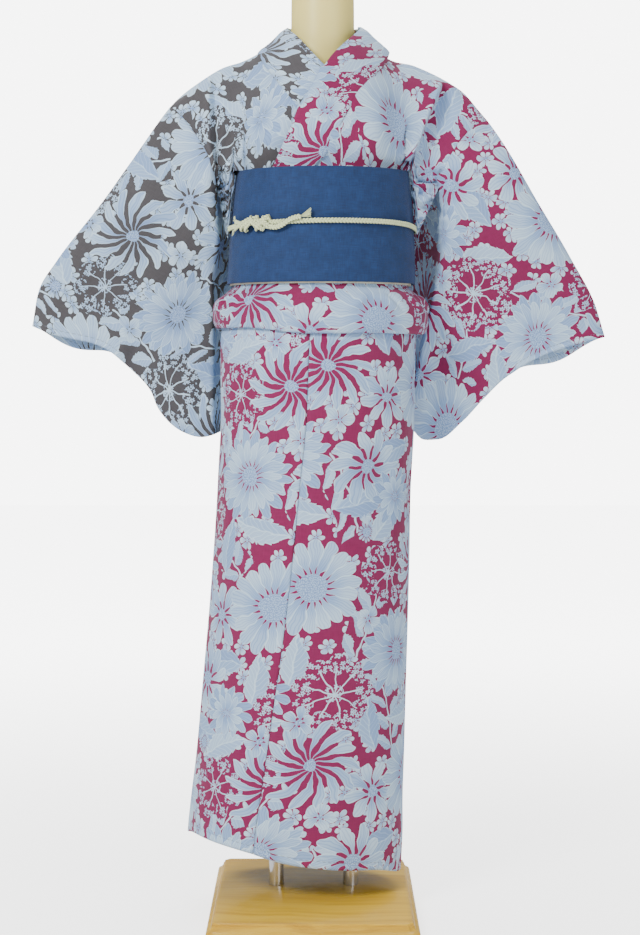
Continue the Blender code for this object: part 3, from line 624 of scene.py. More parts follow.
def makeWeaveGroup():
    # plain weave: height = max(|sin| of warp, |sin| of weft), with slubs as slow noise along each thread
    tree, given, result = newGroup("plainWeave", (
        ("Cloth", arrow, None), ("Pitch", number, 0.06),
    ), (("Height", number), ("Slub", number)))
    threads = vectors(tree, "SCALE", given["Cloth"], scale=sums(tree, "DIVIDE", math.pi, given["Pitch"]))
    x, y, _ = splitXyz(tree, threads)
    warp = sums(tree, "ABSOLUTE", sums(tree, "SINE", x))
    weft = sums(tree, "ABSOLUTE", sums(tree, "SINE", y))
    feed(tree, result["Height"], sums(tree, "MAXIMUM", warp, weft))
    longWays = noise(tree, vectors(tree, "MULTIPLY", given["Cloth"], (9.0, 0.6, 1.0)), 1.0, 2.0, 0.6, "2D")
    crossWays = noise(tree, vectors(tree, "MULTIPLY", given["Cloth"], (0.6, 9.0, 1.0)), 1.0, 2.0, 0.6, "2D")
    feed(tree, result["Slub"], plus(tree, longWays, crossWays))
    return tree


def makeHemGroup():
    # distance from the finished edge gives a turned-under band and a row of stitches at its inner side
    tree, given, result = newGroup("hemLine", (
        ("Edge", number, 1.0), ("Run", number, 0.0), ("Hem", number, 0.011), ("Stitch", number, 0.006),
    ), (("Band", number), ("Stitches", number)))
    feed(tree, result["Band"], less(tree, given["Edge"], given["Hem"]))
    off = sums(tree, "ABSOLUTE", minus(tree, given["Edge"], given["Hem"]))
    onLine = less(tree, off, 0.0006)
    dash = less(tree, sums(tree, "FRACT", sums(tree, "DIVIDE", given["Run"], given["Stitch"])), 0.6)
    feed(tree, result["Stitches"], times(tree, onLine, dash))
    return tree


printGroup = makePrintGroup()
weaveGroup = makeWeaveGroup()
hemGroup = makeHemGroup()
print("print groups built")


def newMaterial(name, roughness=0.8, metallic=0.0):
    made = bpy.data.materials.new(name)
    made.use_nodes = True
    shader = made.node_tree.nodes["Principled BSDF"]
    shader.inputs["Roughness"].default_value = roughness
    shader.inputs["Metallic"].default_value = metallic
    return made, made.node_tree, shader


def bump(tree, shader, height, strength, distance):
    node = tree.nodes.new("ShaderNodeBump")
    feed(tree, node.inputs["Height"], height)
    node.inputs["Strength"].default_value = strength
    node.inputs["Distance"].default_value = distance
    feed(tree, shader.inputs["Normal"], node.outputs["Normal"])


def clothUv(tree, scale=100.0):
    uv = tree.nodes.new("ShaderNodeUVMap")
    uv.uv_map = "cloth"
    return vectors(tree, "SCALE", uv.outputs["UV"], scale=scale)


def ramp(tree, value, stops):
    node = tree.nodes.new("ShaderNodeValToRGB")
    feed(tree, node.inputs["Fac"], value)
    elements = node.color_ramp.elements
    while len(elements) < len(stops):
        elements.new(0.5)
    for element, (place, colour) in zip(elements, stops):
        element.position = place
        element.color = (*colour, 1)
    return node.outputs["Color"]


cottonLook = {
    "deep": (0.15, 0.225, 0.5),
    "middle": (0.29, 0.445, 0.71),
    "pale": (0.64, 0.82, 0.96),
    "magenta": (0.245, 0.016, 0.085),
    "grey": (0.084, 0.078, 0.084),
    "thread": (0.18, 0.2, 0.26, 1),
    "weaveHeight": 0.0004,
}


def makeCotton(name, ground):
    # printed plain-weave cotton: pale blues over a dyed ground, a turned hem where the cloth ends
    made, tree, shader = newMaterial(name, 0.86)
    cloth = clothUv(tree)
    pattern = useGroup(tree, printGroup, Cloth=cloth)
    weave = useGroup(tree, weaveGroup, Cloth=cloth)
    stops = ((0.15, cottonLook["deep"]), (0.5, cottonLook["middle"]), (0.92, cottonLook["pale"]))
    inks = ramp(tree, pattern["Shade"], stops)
    slub = ranged(tree, weave["Slub"], 0.7, 1.3, 0.9, 1.08, smooth=False)
    dyed = vectors(tree, "SCALE", ground, scale=slub)
    colour = blended(tree, pattern["Ink"], dyed, inks, "RGBA")
    edge = tree.nodes.new("ShaderNodeAttribute")
    edge.attribute_name = "edge"
    clothX, clothY, _ = splitXyz(tree, cloth)
    run = times(tree, plus(tree, clothX, clothY), 0.01)
    hem = useGroup(tree, hemGroup, Edge=edge.outputs["Fac"], Run=run)
    stitched = times(tree, hem["Stitches"], 0.55)
    colour = blended(tree, stitched, colour, cottonLook["thread"], "RGBA")
    tone = timesPlus(tree, hem["Band"], 0.05, 1.0)
    feed(tree, shader.inputs["Base Color"], vectors(tree, "SCALE", colour, scale=tone))
    rough = noise(tree, cloth, 0.35, 3.0, 0.6, "2D")
    feed(tree, shader.inputs["Roughness"], ranged(tree, rough, 0.3, 0.7, 0.8, 0.92))
    height = timesPlus(tree, weave["Height"], 0.35, times(tree, weave["Slub"], 0.5))
    height = timesPlus(tree, hem["Band"], 0.8, height)
    height = timesPlus(tree, hem["Stitches"], -1.2, height)
    bump(tree, shader, height, 0.45, cottonLook["weaveHeight"])
    shader.inputs["Sheen Weight"].default_value = 0.12
    shader.inputs["Sheen Roughness"].default_value = 0.55
    shader.inputs["Specular IOR Level"].default_value = 0.25
    return made


sashLook = {
    # colour and thread pitch in centimetres
    "blue": ((0.013, 0.04, 0.13), 0.07),
    "cream": ((0.62, 0.58, 0.44), 0.09),
}


def makeObiCloth(name, colour, rib):
    # coarser plain weave, its threads broken by noise, and a soft mottling
    made, tree, shader = newMaterial(name, 0.72)
    cloth = clothUv(tree)
    weave = useGroup(tree, weaveGroup, Cloth=cloth, Pitch=rib)
    slub = ranged(tree, weave["Slub"], 0.65, 1.35, 0.72, 1.3, smooth=False)
    mottle = ranged(tree, noise(tree, cloth, 0.5, 4.0, 0.6, "2D"), 0.3, 0.7, 0.9, 1.1)
    tone = times(tree, slub, mottle)
    feed(tree, shader.inputs["Base Color"], vectors(tree, "SCALE", colour, scale=tone))
    feed(tree, shader.inputs["Roughness"], ranged(tree, weave["Slub"], 0.6, 1.4, 0.62, 0.82))
    bump(tree, shader, timesPlus(tree, weave["Height"], 0.6, weave["Slub"]), 0.5, 0.0005)
    shader.inputs["Sheen Weight"].default_value = 0.1
    shader.inputs["Specular IOR Level"].default_value = 0.3
    return made


strawColour = (0.8, 0.88, 0.52)


def makeCordBraid():
    # twisted threads, and painted shade: each strand's colour is darkened where it dives under its neighbour
    made, tree, shader = newMaterial("strawCord", 0.7)
    cloth = clothUv(tree)
    threads = noise(tree, vectors(tree, "MULTIPLY", cloth, (1.2, 40.0, 1.0)), 1.0, 2.0, 0.6, "2D")
    lieForShade = tree.nodes.new("ShaderNodeAttribute")
    lieForShade.attribute_name = "lieForShade"
    tone = ranged(tree, threads, 0.3, 0.7, 0.88, 1.08)
    # painted shade: the colour falls to 6 % where a strand lies lowest, in the crevices of the plait
    tone = times(tree, tone, ranged(tree, lieForShade.outputs["Fac"], 0.1, 0.95, 0.06, 1.0))
    feed(tree, shader.inputs["Base Color"], vectors(tree, "SCALE", strawColour, scale=tone))
    feed(tree, shader.inputs["Roughness"], ranged(tree, threads, 0.3, 0.7, 0.6, 0.8))
    bump(tree, shader, threads, 0.4, 0.0002)
    shader.inputs["Sheen Weight"].default_value = 0.15
    return made


standLook = {
    # ramps of share and colour
    "shell": ((0.3, (0.96, 0.8, 0.24)), (0.7, (0.98, 0.83, 0.28))),
    "chrome": ((0.2, (0.6, 0.6, 0.62)), (0.8, (0.74, 0.74, 0.75))),
    "maple": ((0.32, (0.55, 0.28, 0.014)), (0.58, (0.76, 0.45, 0.024)), (0.82, (0.85, 0.54, 0.045))),
}


def makeFormShell():
    # smooth cream shell: faint mottling and a satin surface
    made, tree, shader = newMaterial("creamShell", 0.42)
    place = tree.nodes.new("ShaderNodeTexCoord").outputs["Object"]
    mottle = noise(tree, place, 14.0, 3.0, 0.55)
    feed(tree, shader.inputs["Base Color"], ramp(tree, mottle, standLook["shell"]))
    feed(tree, shader.inputs["Roughness"], ranged(tree, noise(tree, place, 60.0, 2.0), 0.3, 0.7, 0.36, 0.48))
    bump(tree, shader, noise(tree, place, 220.0, 2.0), 0.06, 0.0004)
    return made


def makeChrome():
    # polished tube with faint wiping marks along it
    made, tree, shader = newMaterial("chromeTube", 0.12, 1.0)
    place = tree.nodes.new("ShaderNodeTexCoord").outputs["Object"]
    marks = noise(tree, vectors(tree, "MULTIPLY", place, (60.0, 60.0, 3.0)), 1.0, 3.0)
    feed(tree, shader.inputs["Base Color"], ramp(tree, marks, standLook["chrome"]))
    feed(tree, shader.inputs["Roughness"], ranged(tree, marks, 0.2, 0.8, 0.07, 0.22))
    return made


def makeMaple():
    # growth lines along the board as stretched, bent waves, fine pores, and a clear varnish
    made, tree, shader = newMaterial("varnishedMaple", 0.35)
    place = tree.nodes.new("ShaderNodeTexCoord").outputs["Object"]
    bend = joinXyz(tree, noise(tree, place, 3.0, 2.0), noise(tree, place, 4.1, 2.0), 0.0)
    bent = vectors(tree, "ADD", place, vectors(tree, "SCALE", bend, scale=0.1))
    lines = noise(tree, vectors(tree, "MULTIPLY", bent, (3.0, 70.0, 60.0)), 1.0, 4.0, 0.6)
    pores = noise(tree, vectors(tree, "MULTIPLY", place, (60.0, 900.0, 600.0)), 1.0, 2.0)
    grain = timesPlus(tree, pores, 0.18, lines)
    feed(tree, shader.inputs["Base Color"], ramp(tree, grain, standLook["maple"]))
    feed(tree, shader.inputs["Roughness"], ranged(tree, pores, 0.3, 0.7, 0.3, 0.42))
    bump(tree, shader, grain, 0.08, 0.0004)
    shader.inputs["Coat Weight"].default_value = 0.25
    shader.inputs["Coat Roughness"].default_value = 0.12
    return made


greyCotton = makeCotton("greyHalfCotton", cottonLook["grey"])
magentaCotton = makeCotton("magentaHalfCotton", cottonLook["magenta"])
obiBlue = makeObiCloth("obiBlue", *sashLook["blue"])
obiCream = makeObiCloth("obiCream", *sashLook["cream"])
strawCord = makeCordBraid()
creamShell = makeFormShell()
chromeTube = makeChrome()
varnishedMaple = makeMaple()
halfCotton = {"right": greyCotton, "left": magentaCotton}
print("materials built")


skirtRings = (
    # height, half width, half depth, middle x
    (0.05, 0.159, 0.112, -0.0275), (0.11, 0.16, 0.112, -0.026), (0.16, 0.158, 0.112, -0.024),
    (0.235, 0.1555, 0.112, -0.019), (0.33, 0.153, 0.114, -0.0136), (0.4, 0.151, 0.117, -0.0097),
    (0.51, 0.1475, 0.121, -0.0045), (0.645, 0.144, 0.125, 0.0017), (0.725, 0.144, 0.126, 0.0064),
    (0.85, 0.145, 0.119, 0.007), (0.9, 0.139, 0.113, 0.009),
)
skirtTop = 0.9
hemLine = (
    # angle round the figure, height of the lower edge
    (90, 0.056), (120, 0.066), (150, 0.092), (176, 0.108), (200, 0.116), (222, 0.112), (245, 0.103),
    (262, 0.091), (290, 0.079), (320, 0.07), (345, 0.057), (360, 0.054), (405, 0.054), (450, 0.056),
)
overlapSeam = ((0.05, 246), (0.2, 250), (0.5, 259), (0.76, 264), (0.9, 266))
waistFoldRows = (
    # height, half width, half depth
    (0.956, 0.1285, 0.1065), (0.931, 0.1305, 0.108), (0.922, 0.1405, 0.1165), (0.905, 0.156, 0.1265),
    (0.885, 0.1605, 0.1295), (0.868, 0.158, 0.1275), (0.862, 0.154, 0.124), (0.867, 0.1508, 0.1216),
    (0.882, 0.1495, 0.1205),
)
obiRings = ((0.93, 0.1412, 0.118, 0.0105), (1.015, 0.1375, 0.1155, 0.012), (1.1, 0.13, 0.112, 0.0142))
obi = {"top": 1.1, "low": 0.9352, "innerLow": 0.933, "wall": 0.0016, "lapStep": 0.0036}
shoulderLine = (
    (-0.2122, 1.1974), (-0.1987, 1.211), (-0.1682, 1.234), (-0.1346, 1.2544), (-0.1045, 1.2642),
    (-0.0778, 1.2775), (-0.0397, 1.3076), (0.0138, 1.325), (0.0662, 1.3027), (0.0893, 1.2874),
    (0.1064, 1.2709), (0.1499, 1.2574), (0.1733, 1.2474), (0.2017, 1.2324), (0.2235, 1.2172),
    (0.2437, 1.1938), (0.2573, 1.178),
)
chestDepth = (
    # distance from the middle, depth at the chest, depth inside the sash
    (0.0, 0.104, 0.09), (0.06, 0.093, 0.075), (0.08, 0.083, 0.062), (0.1, 0.0665, 0.044),
    (0.11, 0.056, 0.032), (0.118, 0.048, 0.03), (0.13, 0.04, 0.035), (0.16, 0.034, 0.034),
    (0.25, 0.028, 0.028),
)
chest = {"height": 1.15, "round": 0.16, "low": 1.05, "overhang": 0.0508}
panelEdges = {
    # share of the way down from the shoulder, x
    "right": {
        "front": ((0.0, -0.064), (0.23, -0.034), (0.45, 0.0), (0.63, 0.03), (1.0, 0.042)),
        "back": ((0.0, -0.064), (0.1, -0.056), (0.2, -0.024), (0.25, 0.0132), (1.0, 0.0132)),
        "armhole": ((0.0, -0.2122), (0.45, -0.183), (0.88, -0.152), (1.0, -0.146)),
    },
    "left": {
        "front": ((0.0, 0.09), (0.22, 0.062), (0.36, 0.035), (0.56, 0.0), (0.74, -0.025), (1.0, -0.042)),
        "back": ((0.0, 0.09), (0.1, 0.083), (0.2, 0.051), (0.25, 0.0144), (1.0, 0.0144)),
        "armhole": ((0.0, 0.2573), (0.45, 0.23), (0.88, 0.1975), (1.0, 0.19)),
    },
}
frontLayer = {"right": 0.0, "left": 0.0082}
collarLayer = {"right": 0.0033, "left": 0.0115}


def oval(angle, halfWidth, halfDepth, middleX, out=0.0):
    # x = middle + a cos, y = axis + b sin; 180 degrees is -X and 270 is the front
    radians = np.radians(angle)
    return middleX + (halfWidth + out) * np.cos(radians), axisY + (halfDepth + out) * np.sin(radians)


def panelLow(x):
    # tucked inside the sash in front, and just clear of its top corners
    return chest["low"] + chest["overhang"] * ease((abs(x - neckX) - 0.108) / 0.0085)


def bodyDepth(x, z):
    # full depth * sqrt(1 - (1 - drop)^2), a quarter oval down from the shoulder ridge
    drop = np.clip((through(shoulderLine, x) - z) / chest["round"], 0, 1)
    off = abs(x - neckX)
    sash = through(chestDepth, off, 2)
    full = sash + (through(chestDepth, off) - sash) * ease((z - obi["top"]) / (chest["height"] - obi["top"]))
    return full * np.sqrt(1 - (1 - drop) ** 2)


def bodyAtHeight(x, z, back=False, layer=0.0):
    # the robe's surface, moved out along its normal by the layers below
    x, z, layer = np.broadcast_arrays(np.asarray(x, float), np.asarray(z, float), layer)
    reach = 0.0015
    depth = bodyDepth(x, z)
    slopeX = (bodyDepth(x + reach, z) - bodyDepth(x - reach, z)) / (2 * reach)
    slopeZ = (bodyDepth(x, z + reach) - bodyDepth(x, z - reach)) / (2 * reach)
    slopeZ = np.where(z > through(shoulderLine, x) - reach, -20, slopeZ)
    size = np.sqrt(1 + slopeX ** 2 + slopeZ ** 2)
    out = depth + layer / size
    y = axisY + out if back else axisY - out
    return np.stack([x - layer * slopeX / size, y, z - layer * slopeZ / size], axis=-1)


def bodyPoint(x, share, back=False, layer=0.0):
    ridge = through(shoulderLine, x)
    return bodyAtHeight(x, ridge - (ridge - panelLow(x)) * share, back, layer)


def pushOut(points, height, closedU=False, outwardFrom=None):
    # moves a grid along its own normals, turned to face away from the figure's axis or from given points
    normals = normalsOf(points, closedU)
    centre = np.array([waistX, axisY, 0.0]) if outwardFrom is None else outwardFrom
    away = points - centre
    if outwardFrom is None:
        away = away * np.array([1, 1, 0])
    flip = np.sign(np.sum(normals * away, axis=-1, keepdims=True))
    return points + normals * flip * height[..., None]


printShift = {
    # where each piece is cut from the printed length, across and down
    "body": {"right": (0.13, 0.17), "left": (0.13, 0.04)},
    "collar": {"right": (0.02, 0.11), "left": (0.02, 0.33)},
    "sleeve": {"right": (0.27, 0.02), "left": (0.27, 0.21)},
    "waistFold": {"right": (0.07, 0.12), "left": (0.07, 0.29)},
}
upperBody = {
    "across": 116, "down": 130, "wall": 0.001,
    # rows crowd together over this share of the way down from the shoulder
    "ridgeRows": 0.06,
    # the allowance behind the armhole seam: its width, columns and depth, the gap at the seam, and the share
    # of the way down where it starts and the share over which it widens
    "allowance": 0.0065, "allowanceColumns": 4, "tuckedIn": 0.0024, "seamGap": 0.0004,
    "allowanceFrom": (0.3, 0.25),
    # the left front lies on the right one up to this far across, and comes down over the second length
    "lappedOver": (0.117, 0.045),
    "unevenness": 0.0009,
    # start and length of the ways in which folds come and go: inside the sash, above it, at the shoulder
    # ridge and at the armhole
    "heldInside": (0.13, 0.004), "freeAbove": (1.1, 0.03), "freeBelowRidge": (0, 0.12),
    "freeInside": (1, 0.06),
    # share of the print's width that is measured along the surface, the rest straight across
    "printAlong": 0.35,
}
frontCreases = {
    # x0, z0, x1, z1, width, depth
    "right": ((-0.125, 1.262, -0.15, 1.125, 0.016, 0.003), (-0.075, 1.262, -0.1, 1.118, 0.014, -0.0018),
              (-0.112, 1.185, -0.138, 1.098, 0.013, -0.0065), (-0.098, 1.16, -0.112, 1.106, 0.01, 0.0035),
              (-0.045, 1.235, -0.062, 1.108, 0.012, 0.0015), (-0.175, 1.215, -0.165, 1.12, 0.016, 0.0022),
              (-0.018, 1.175, -0.048, 1.105, 0.01, -0.0012)),
    "left": ((0.115, 1.258, 0.08, 1.115, 0.014, 0.0022), (0.06, 1.19, 0.052, 1.108, 0.012, -0.0014),
             (0.03, 1.165, 0.022, 1.105, 0.01, 0.0014), (0.205, 1.215, 0.18, 1.115, 0.014, -0.003),
             (0.155, 1.165, 0.19, 1.11, 0.008, 0.002), (0.235, 1.18, 0.212, 1.11, 0.014, 0.0022)),
}
frontTucks = {
    # the pleat at each side of the chest: x0, z0, x1, z1, edge, reach, depth
    "right": ((-0.144, 1.05, -0.149, 1.235, 0.0009, 0.03, 0.014),),
    "left": ((0.124, 1.074, 0.19, 1.228, 0.0009, 0.05, 0.02),),
}
# the cloth that hangs on between the sash and the sleeve, down to two slanting lines:
# their heights at a distance from the middle, and their slopes
sideCloth = {
    "right": {"inner": (0.1318, 1.1, -11.3), "outer": (0.1598, 1.099, 5.1)},
    "left": {"inner": (0.1318, 1.1, -11.3), "outer": (0.1762, 1.088, 2.2)},
    # it starts this far out and over this length, and this far down; it lies back by as much below a height
    "from": (0.1285, 0.003), "down": (0.55, 0.45),
    "recede": 0.016, "recedeBelow": (1.104, 0.016), "recedeFrom": (0.129, 0.003),
    "crumpleFrom": (0.129, 0.006),
}
crumples = {
    "right": ((-0.11, 1.094, -0.158, 1.084, 0.003, 0.008), (-0.11, 1.078, -0.158, 1.06, 0.0034, 0.0095),
              (-0.11, 1.056, -0.154, 1.05, 0.003, 0.0082), (-0.112, 1.043, -0.15, 1.021, 0.0032, 0.0085),
              (-0.114, 1.028, -0.144, 1.006, 0.0028, 0.0066), (-0.11, 1.086, -0.156, 1.073, 0.0028, -0.006),
              (-0.11, 1.067, -0.154, 1.055, 0.0028, -0.0056), (-0.11, 1.049, -0.15, 1.034, 0.0028, -0.006)),
    "left": ((0.134, 1.096, 0.196, 1.086, 0.0032, 0.008), (0.134, 1.081, 0.194, 1.08, 0.0036, 0.01),
             (0.136, 1.07, 0.19, 1.052, 0.0034, 0.009), (0.134, 1.045, 0.182, 1.062, 0.0028, 0.0085),
             (0.138, 1.039, 0.176, 1.022, 0.0032, 0.008), (0.14, 1.024, 0.17, 1.014, 0.0028, 0.0065),
             (0.134, 1.089, 0.19, 1.083, 0.0028, -0.006), (0.136, 1.074, 0.186, 1.066, 0.0028, -0.006),
             (0.136, 1.056, 0.178, 1.044, 0.0028, -0.0065)),
}
backCreases = {
    "right": ((-0.125, 1.24, -0.095, 1.105, 0.018, 0.003), (-0.06, 1.225, -0.055, 1.1, 0.014, -0.002),
              (-0.165, 1.19, -0.135, 1.115, 0.012, -0.0024), (-0.02, 1.2, -0.03, 1.105, 0.012, 0.0014)),
    "left": ((0.155, 1.24, 0.12, 1.105, 0.018, 0.003), (0.085, 1.22, 0.075, 1.1, 0.014, -0.002),
             (0.2, 1.185, 0.165, 1.115, 0.012, -0.0024), (0.045, 1.195, 0.05, 1.105, 0.012, 0.0014)),
}


def hangBeside(side, half, below, beyond):
    # beside the sash the cloth hangs on: its lower edge falls to the higher of two slanting lines, height =
    # line's height + slope * (distance from the middle - line's distance), and it lies back a little
    off = abs(half[..., 0] - neckX)
    innerAt, innerHeight, innerSlope = sideCloth[side]["inner"]
    outerAt, outerHeight, outerSlope = sideCloth[side]["outer"]
    innerLine = innerHeight + innerSlope * (off - innerAt)
    outerLine = outerHeight - outerSlope * (outerAt - off)
    lowest = np.maximum(innerLine, outerLine)
    drop = np.clip(chest["low"] + chest["overhang"] - lowest, 0, None) * rising(off, *sideCloth["from"])
    half[..., 2] -= drop * rising(below, *sideCloth["down"]) * (1 - beyond)
    recede = sideCloth["recede"] * falling(half[..., 2], *sideCloth["recedeBelow"])
    half[..., 1] += recede * rising(off, *sideCloth["recedeFrom"])


def bodyFolds(side, half, back):
    # creases of this half, and in front the chest's pleat and the crumples beside the sash
    x, z = half[..., 0], half[..., 2]
    height = creaseHeight(x, z, backCreases[side] if back else frontCreases[side])
    if not back:
        height = height + tuckHeight(x, z, frontTucks[side])
        crumpled = creaseHeight(x, z, crumples[side])
        height = height + crumpled * rising(abs(x - neckX), *sideCloth["crumpleFrom"])
    return height + upperBody["unevenness"] * wander(x * 42, z * 36, 3 + back)


def makeUpperBody(side):
    # up the front, over the shoulder and down the back: P(u, v) with u across from the neck to the armhole
    # and v from the front's lower edge, through the shoulder ridge, to the back's lower edge
    edges = panelEdges[side]
    outward = -1 if side == "right" else 1
    # the last columns are the allowance tucked in behind the armhole seam
    allowanceShares = np.linspace(0.2, 1, upperBody["allowanceColumns"])
    across = np.concatenate([np.linspace(0, 1, upperBody["across"]), 1 + allowanceShares])
    beyond = np.clip(across - 1, 0, 1)
    across = np.minimum(across, 1)
    crowded = np.linspace(0.05, 1, upperBody["down"] // 8) ** 2 * upperBody["ridgeRows"]
    down = np.concatenate([crowded, np.linspace(0.07, 1, upperBody["down"])])
    below = down[:, None]
    allowance = outward * upperBody["allowance"] * rising(below, *upperBody["allowanceFrom"])
    allowance = allowance + outward * upperBody["seamGap"]
    halves = []
    plain = []
    for back in (False, True):
        inner = through(edges["back" if back else "front"], down)
        outer = through(edges["armhole"], down)
        x = inner[:, None] + (outer - inner)[:, None] * across + allowance * beyond
        layer = 0.0
        if not back:
            layer = frontLayer[side] * rising(below, 0, 0.25) * falling(x, *upperBody["lappedOver"])
        layer = layer - upperBody["tuckedIn"] * np.sqrt(beyond) * rising(below, 0, 0.2)
        half = bodyPoint(x, below, back, layer)
        plain.append(half.copy())
        if not back:
            hangBeside(side, half, below, beyond)
        height = bodyFolds(side, half, back)
        # it stays smooth where the sash, the collar and the sleeve hold it
        held = falling(abs(half[..., 0] - neckX), *upperBody["heldInside"])
        free = 1 - held + held * rising(half[..., 2], *upperBody["freeAbove"])
        free = free * rising(below, *upperBody["freeBelowRidge"]) * falling(across, *upperBody["freeInside"])
        halves.append(pushOut(half, height * free))
    neckEdge = edges["front"][0][1]
    ridgeX = neckEdge + (edges["armhole"][0][1] - neckEdge) * across
    ridge = bodyPoint(ridgeX + outward * upperBody["seamGap"] * beyond, 0.0)
    points = np.concatenate([halves[0][::-1], ridge[None], halves[1]])
    plain = np.concatenate([plain[0][::-1], ridge[None], plain[1]])
    run = runningLength(points, 0)
    v = run - run[len(down)]
    # the print is laid on mostly straight across, so it isn't drawn together where the chest turns back
    width = runningLength(plain, 1)
    width = width[:, -1:] - width
    straightWidth = abs(plain[..., 0] - plain[:, -1:, 0])
    u = upperBody["printAlong"] * width + (1 - upperBody["printAlong"]) * straightWidth
    shift = printShift["body"][side]
    uv = np.stack([u * outward + shift[0], -abs(v) + shift[1]], axis=-1)
    piece = gridObject(f"{side}Body", points, halfCotton[side], uv, 1.0, wall=upperBody["wall"])
    return finishPiece(piece, (f"body_{side}",))


collarBack = {
    "right": (
        (0.0132, 0.102, 1.312, 0.0132, 0.119, 1.262), (-0.01, 0.096, 1.314, -0.023, 0.108, 1.266),
        (-0.029, 0.072, 1.316, -0.06, 0.078, 1.276), (-0.0362, 0.046, 1.313, -0.077, 0.054, 1.279),
    ),
    "left": (
        (0.0144, 0.102, 1.312, 0.0144, 0.119, 1.262), (0.0376, 0.096, 1.314, 0.0506, 0.108, 1.266),
        (0.057, 0.072, 1.315, 0.086, 0.08, 1.279), (0.064, 0.046, 1.312, 0.102, 0.054, 1.282),
    ),
}
collarFront = {
    "right": (
        (-0.0367, 1.307, -0.0817, 1.276), (-0.021, 1.288, -0.069, 1.249), (0.0, 1.262, -0.05, 1.221),
        (0.019, 1.239, -0.025, 1.189), (0.036, 1.21, -0.004, 1.159), (0.052, 1.172, 0.008, 1.13),
        (0.062, 1.12, 0.013, 1.1), (0.066, 1.06, 0.014, 1.056),
    ),
    "left": (
        (0.0644, 1.303, 0.1058, 1.273), (0.0425, 1.274, 0.093, 1.243), (0.0246, 1.254, 0.0745, 1.216),
        (0.0168, 1.243, 0.0627, 1.204), (-0.0033, 1.206, 0.0462, 1.173), (-0.0193, 1.181, 0.033, 1.149),
        (-0.0278, 1.159, 0.017, 1.121), (-0.0421, 1.131, 0.0026, 1.099), (-0.062, 1.07, -0.013, 1.053),
    ),
}
collar = {
    "along": 200, "across": 24, "wall": 0.002,
    # it turns from standing up behind the neck to lying on the fronts from here, over this depth
    "lies": (axisY - 0.002, 0.012),
    # height, share across and width of the fullness along the fold, and of the pinch along the seam
    "full": (0.0016, 0.22, 0.2), "pinch": (0.0012, 0.9, 0.1),
    "ripple": 0.0006, "freeAbove": (1.1, 0.02), "middle": (neckX, axisY, 1.2),
}


def makeCollar(side):
    # a folded band: P(u, v) = folded edge + v * (seamed edge - folded edge), laid on the panels in front
    rows = []
    for x0, y0, z0, x1, y1, z1 in collarBack[side]:
        rows.append(((x0, y0, z0), (x1, y1, z1)))
    for x0, z0, x1, z1 in collarFront[side]:
        rows.append(((x0, axisY - bodyDepth(x0, z0), z0), (x1, axisY - bodyDepth(x1, z1), z1)))
    rows = np.array(rows, float)
    share = np.linspace(0, 1, collar["along"])
    folded = along(rows[:, 0], share)
    seamed = along(rows[:, 1], share)
    across = np.linspace(0, 1, collar["across"])
    points = folded[:, None] + (seamed - folded)[:, None] * across[:, None]
    lying = bodyAtHeight(points[..., 0], points[..., 2], False, collarLayer[side])
    front = falling(points[..., 1], *collar["lies"])[..., None]
    points = (points + np.array([0, 0, collarLayer["right"]])) * (1 - front) + lying * front
    # the band is fuller along its fold and pinched along its seam
    full, fullAt, fullWidth = collar["full"]
    pinch, pinchAt, pinchWidth = collar["pinch"]
    puff = full * np.exp(-((across - fullAt) / fullWidth) ** 2) - pinch * rising(across, pinchAt, pinchWidth)
    ripple = collar["ripple"] * wander(share[:, None] * 16, across * 2.5, 8)
    calm = rising(points[..., 2], *collar["freeAbove"])
    points = pushOut(points, (puff + ripple) * calm, outwardFrom=np.array(collar["middle"]))
    run = runningLength(points, 0)
    wide = runningLength(points, 1)
    shift = printShift["collar"][side]
    uv = np.stack([wide + shift[0], -run + shift[1]], axis=-1)
    piece = gridObject(f"{side}Collar", points, halfCotton[side], uv, 1.0, wall=collar["wall"])
    return finishPiece(piece, (f"collar_{side}",))


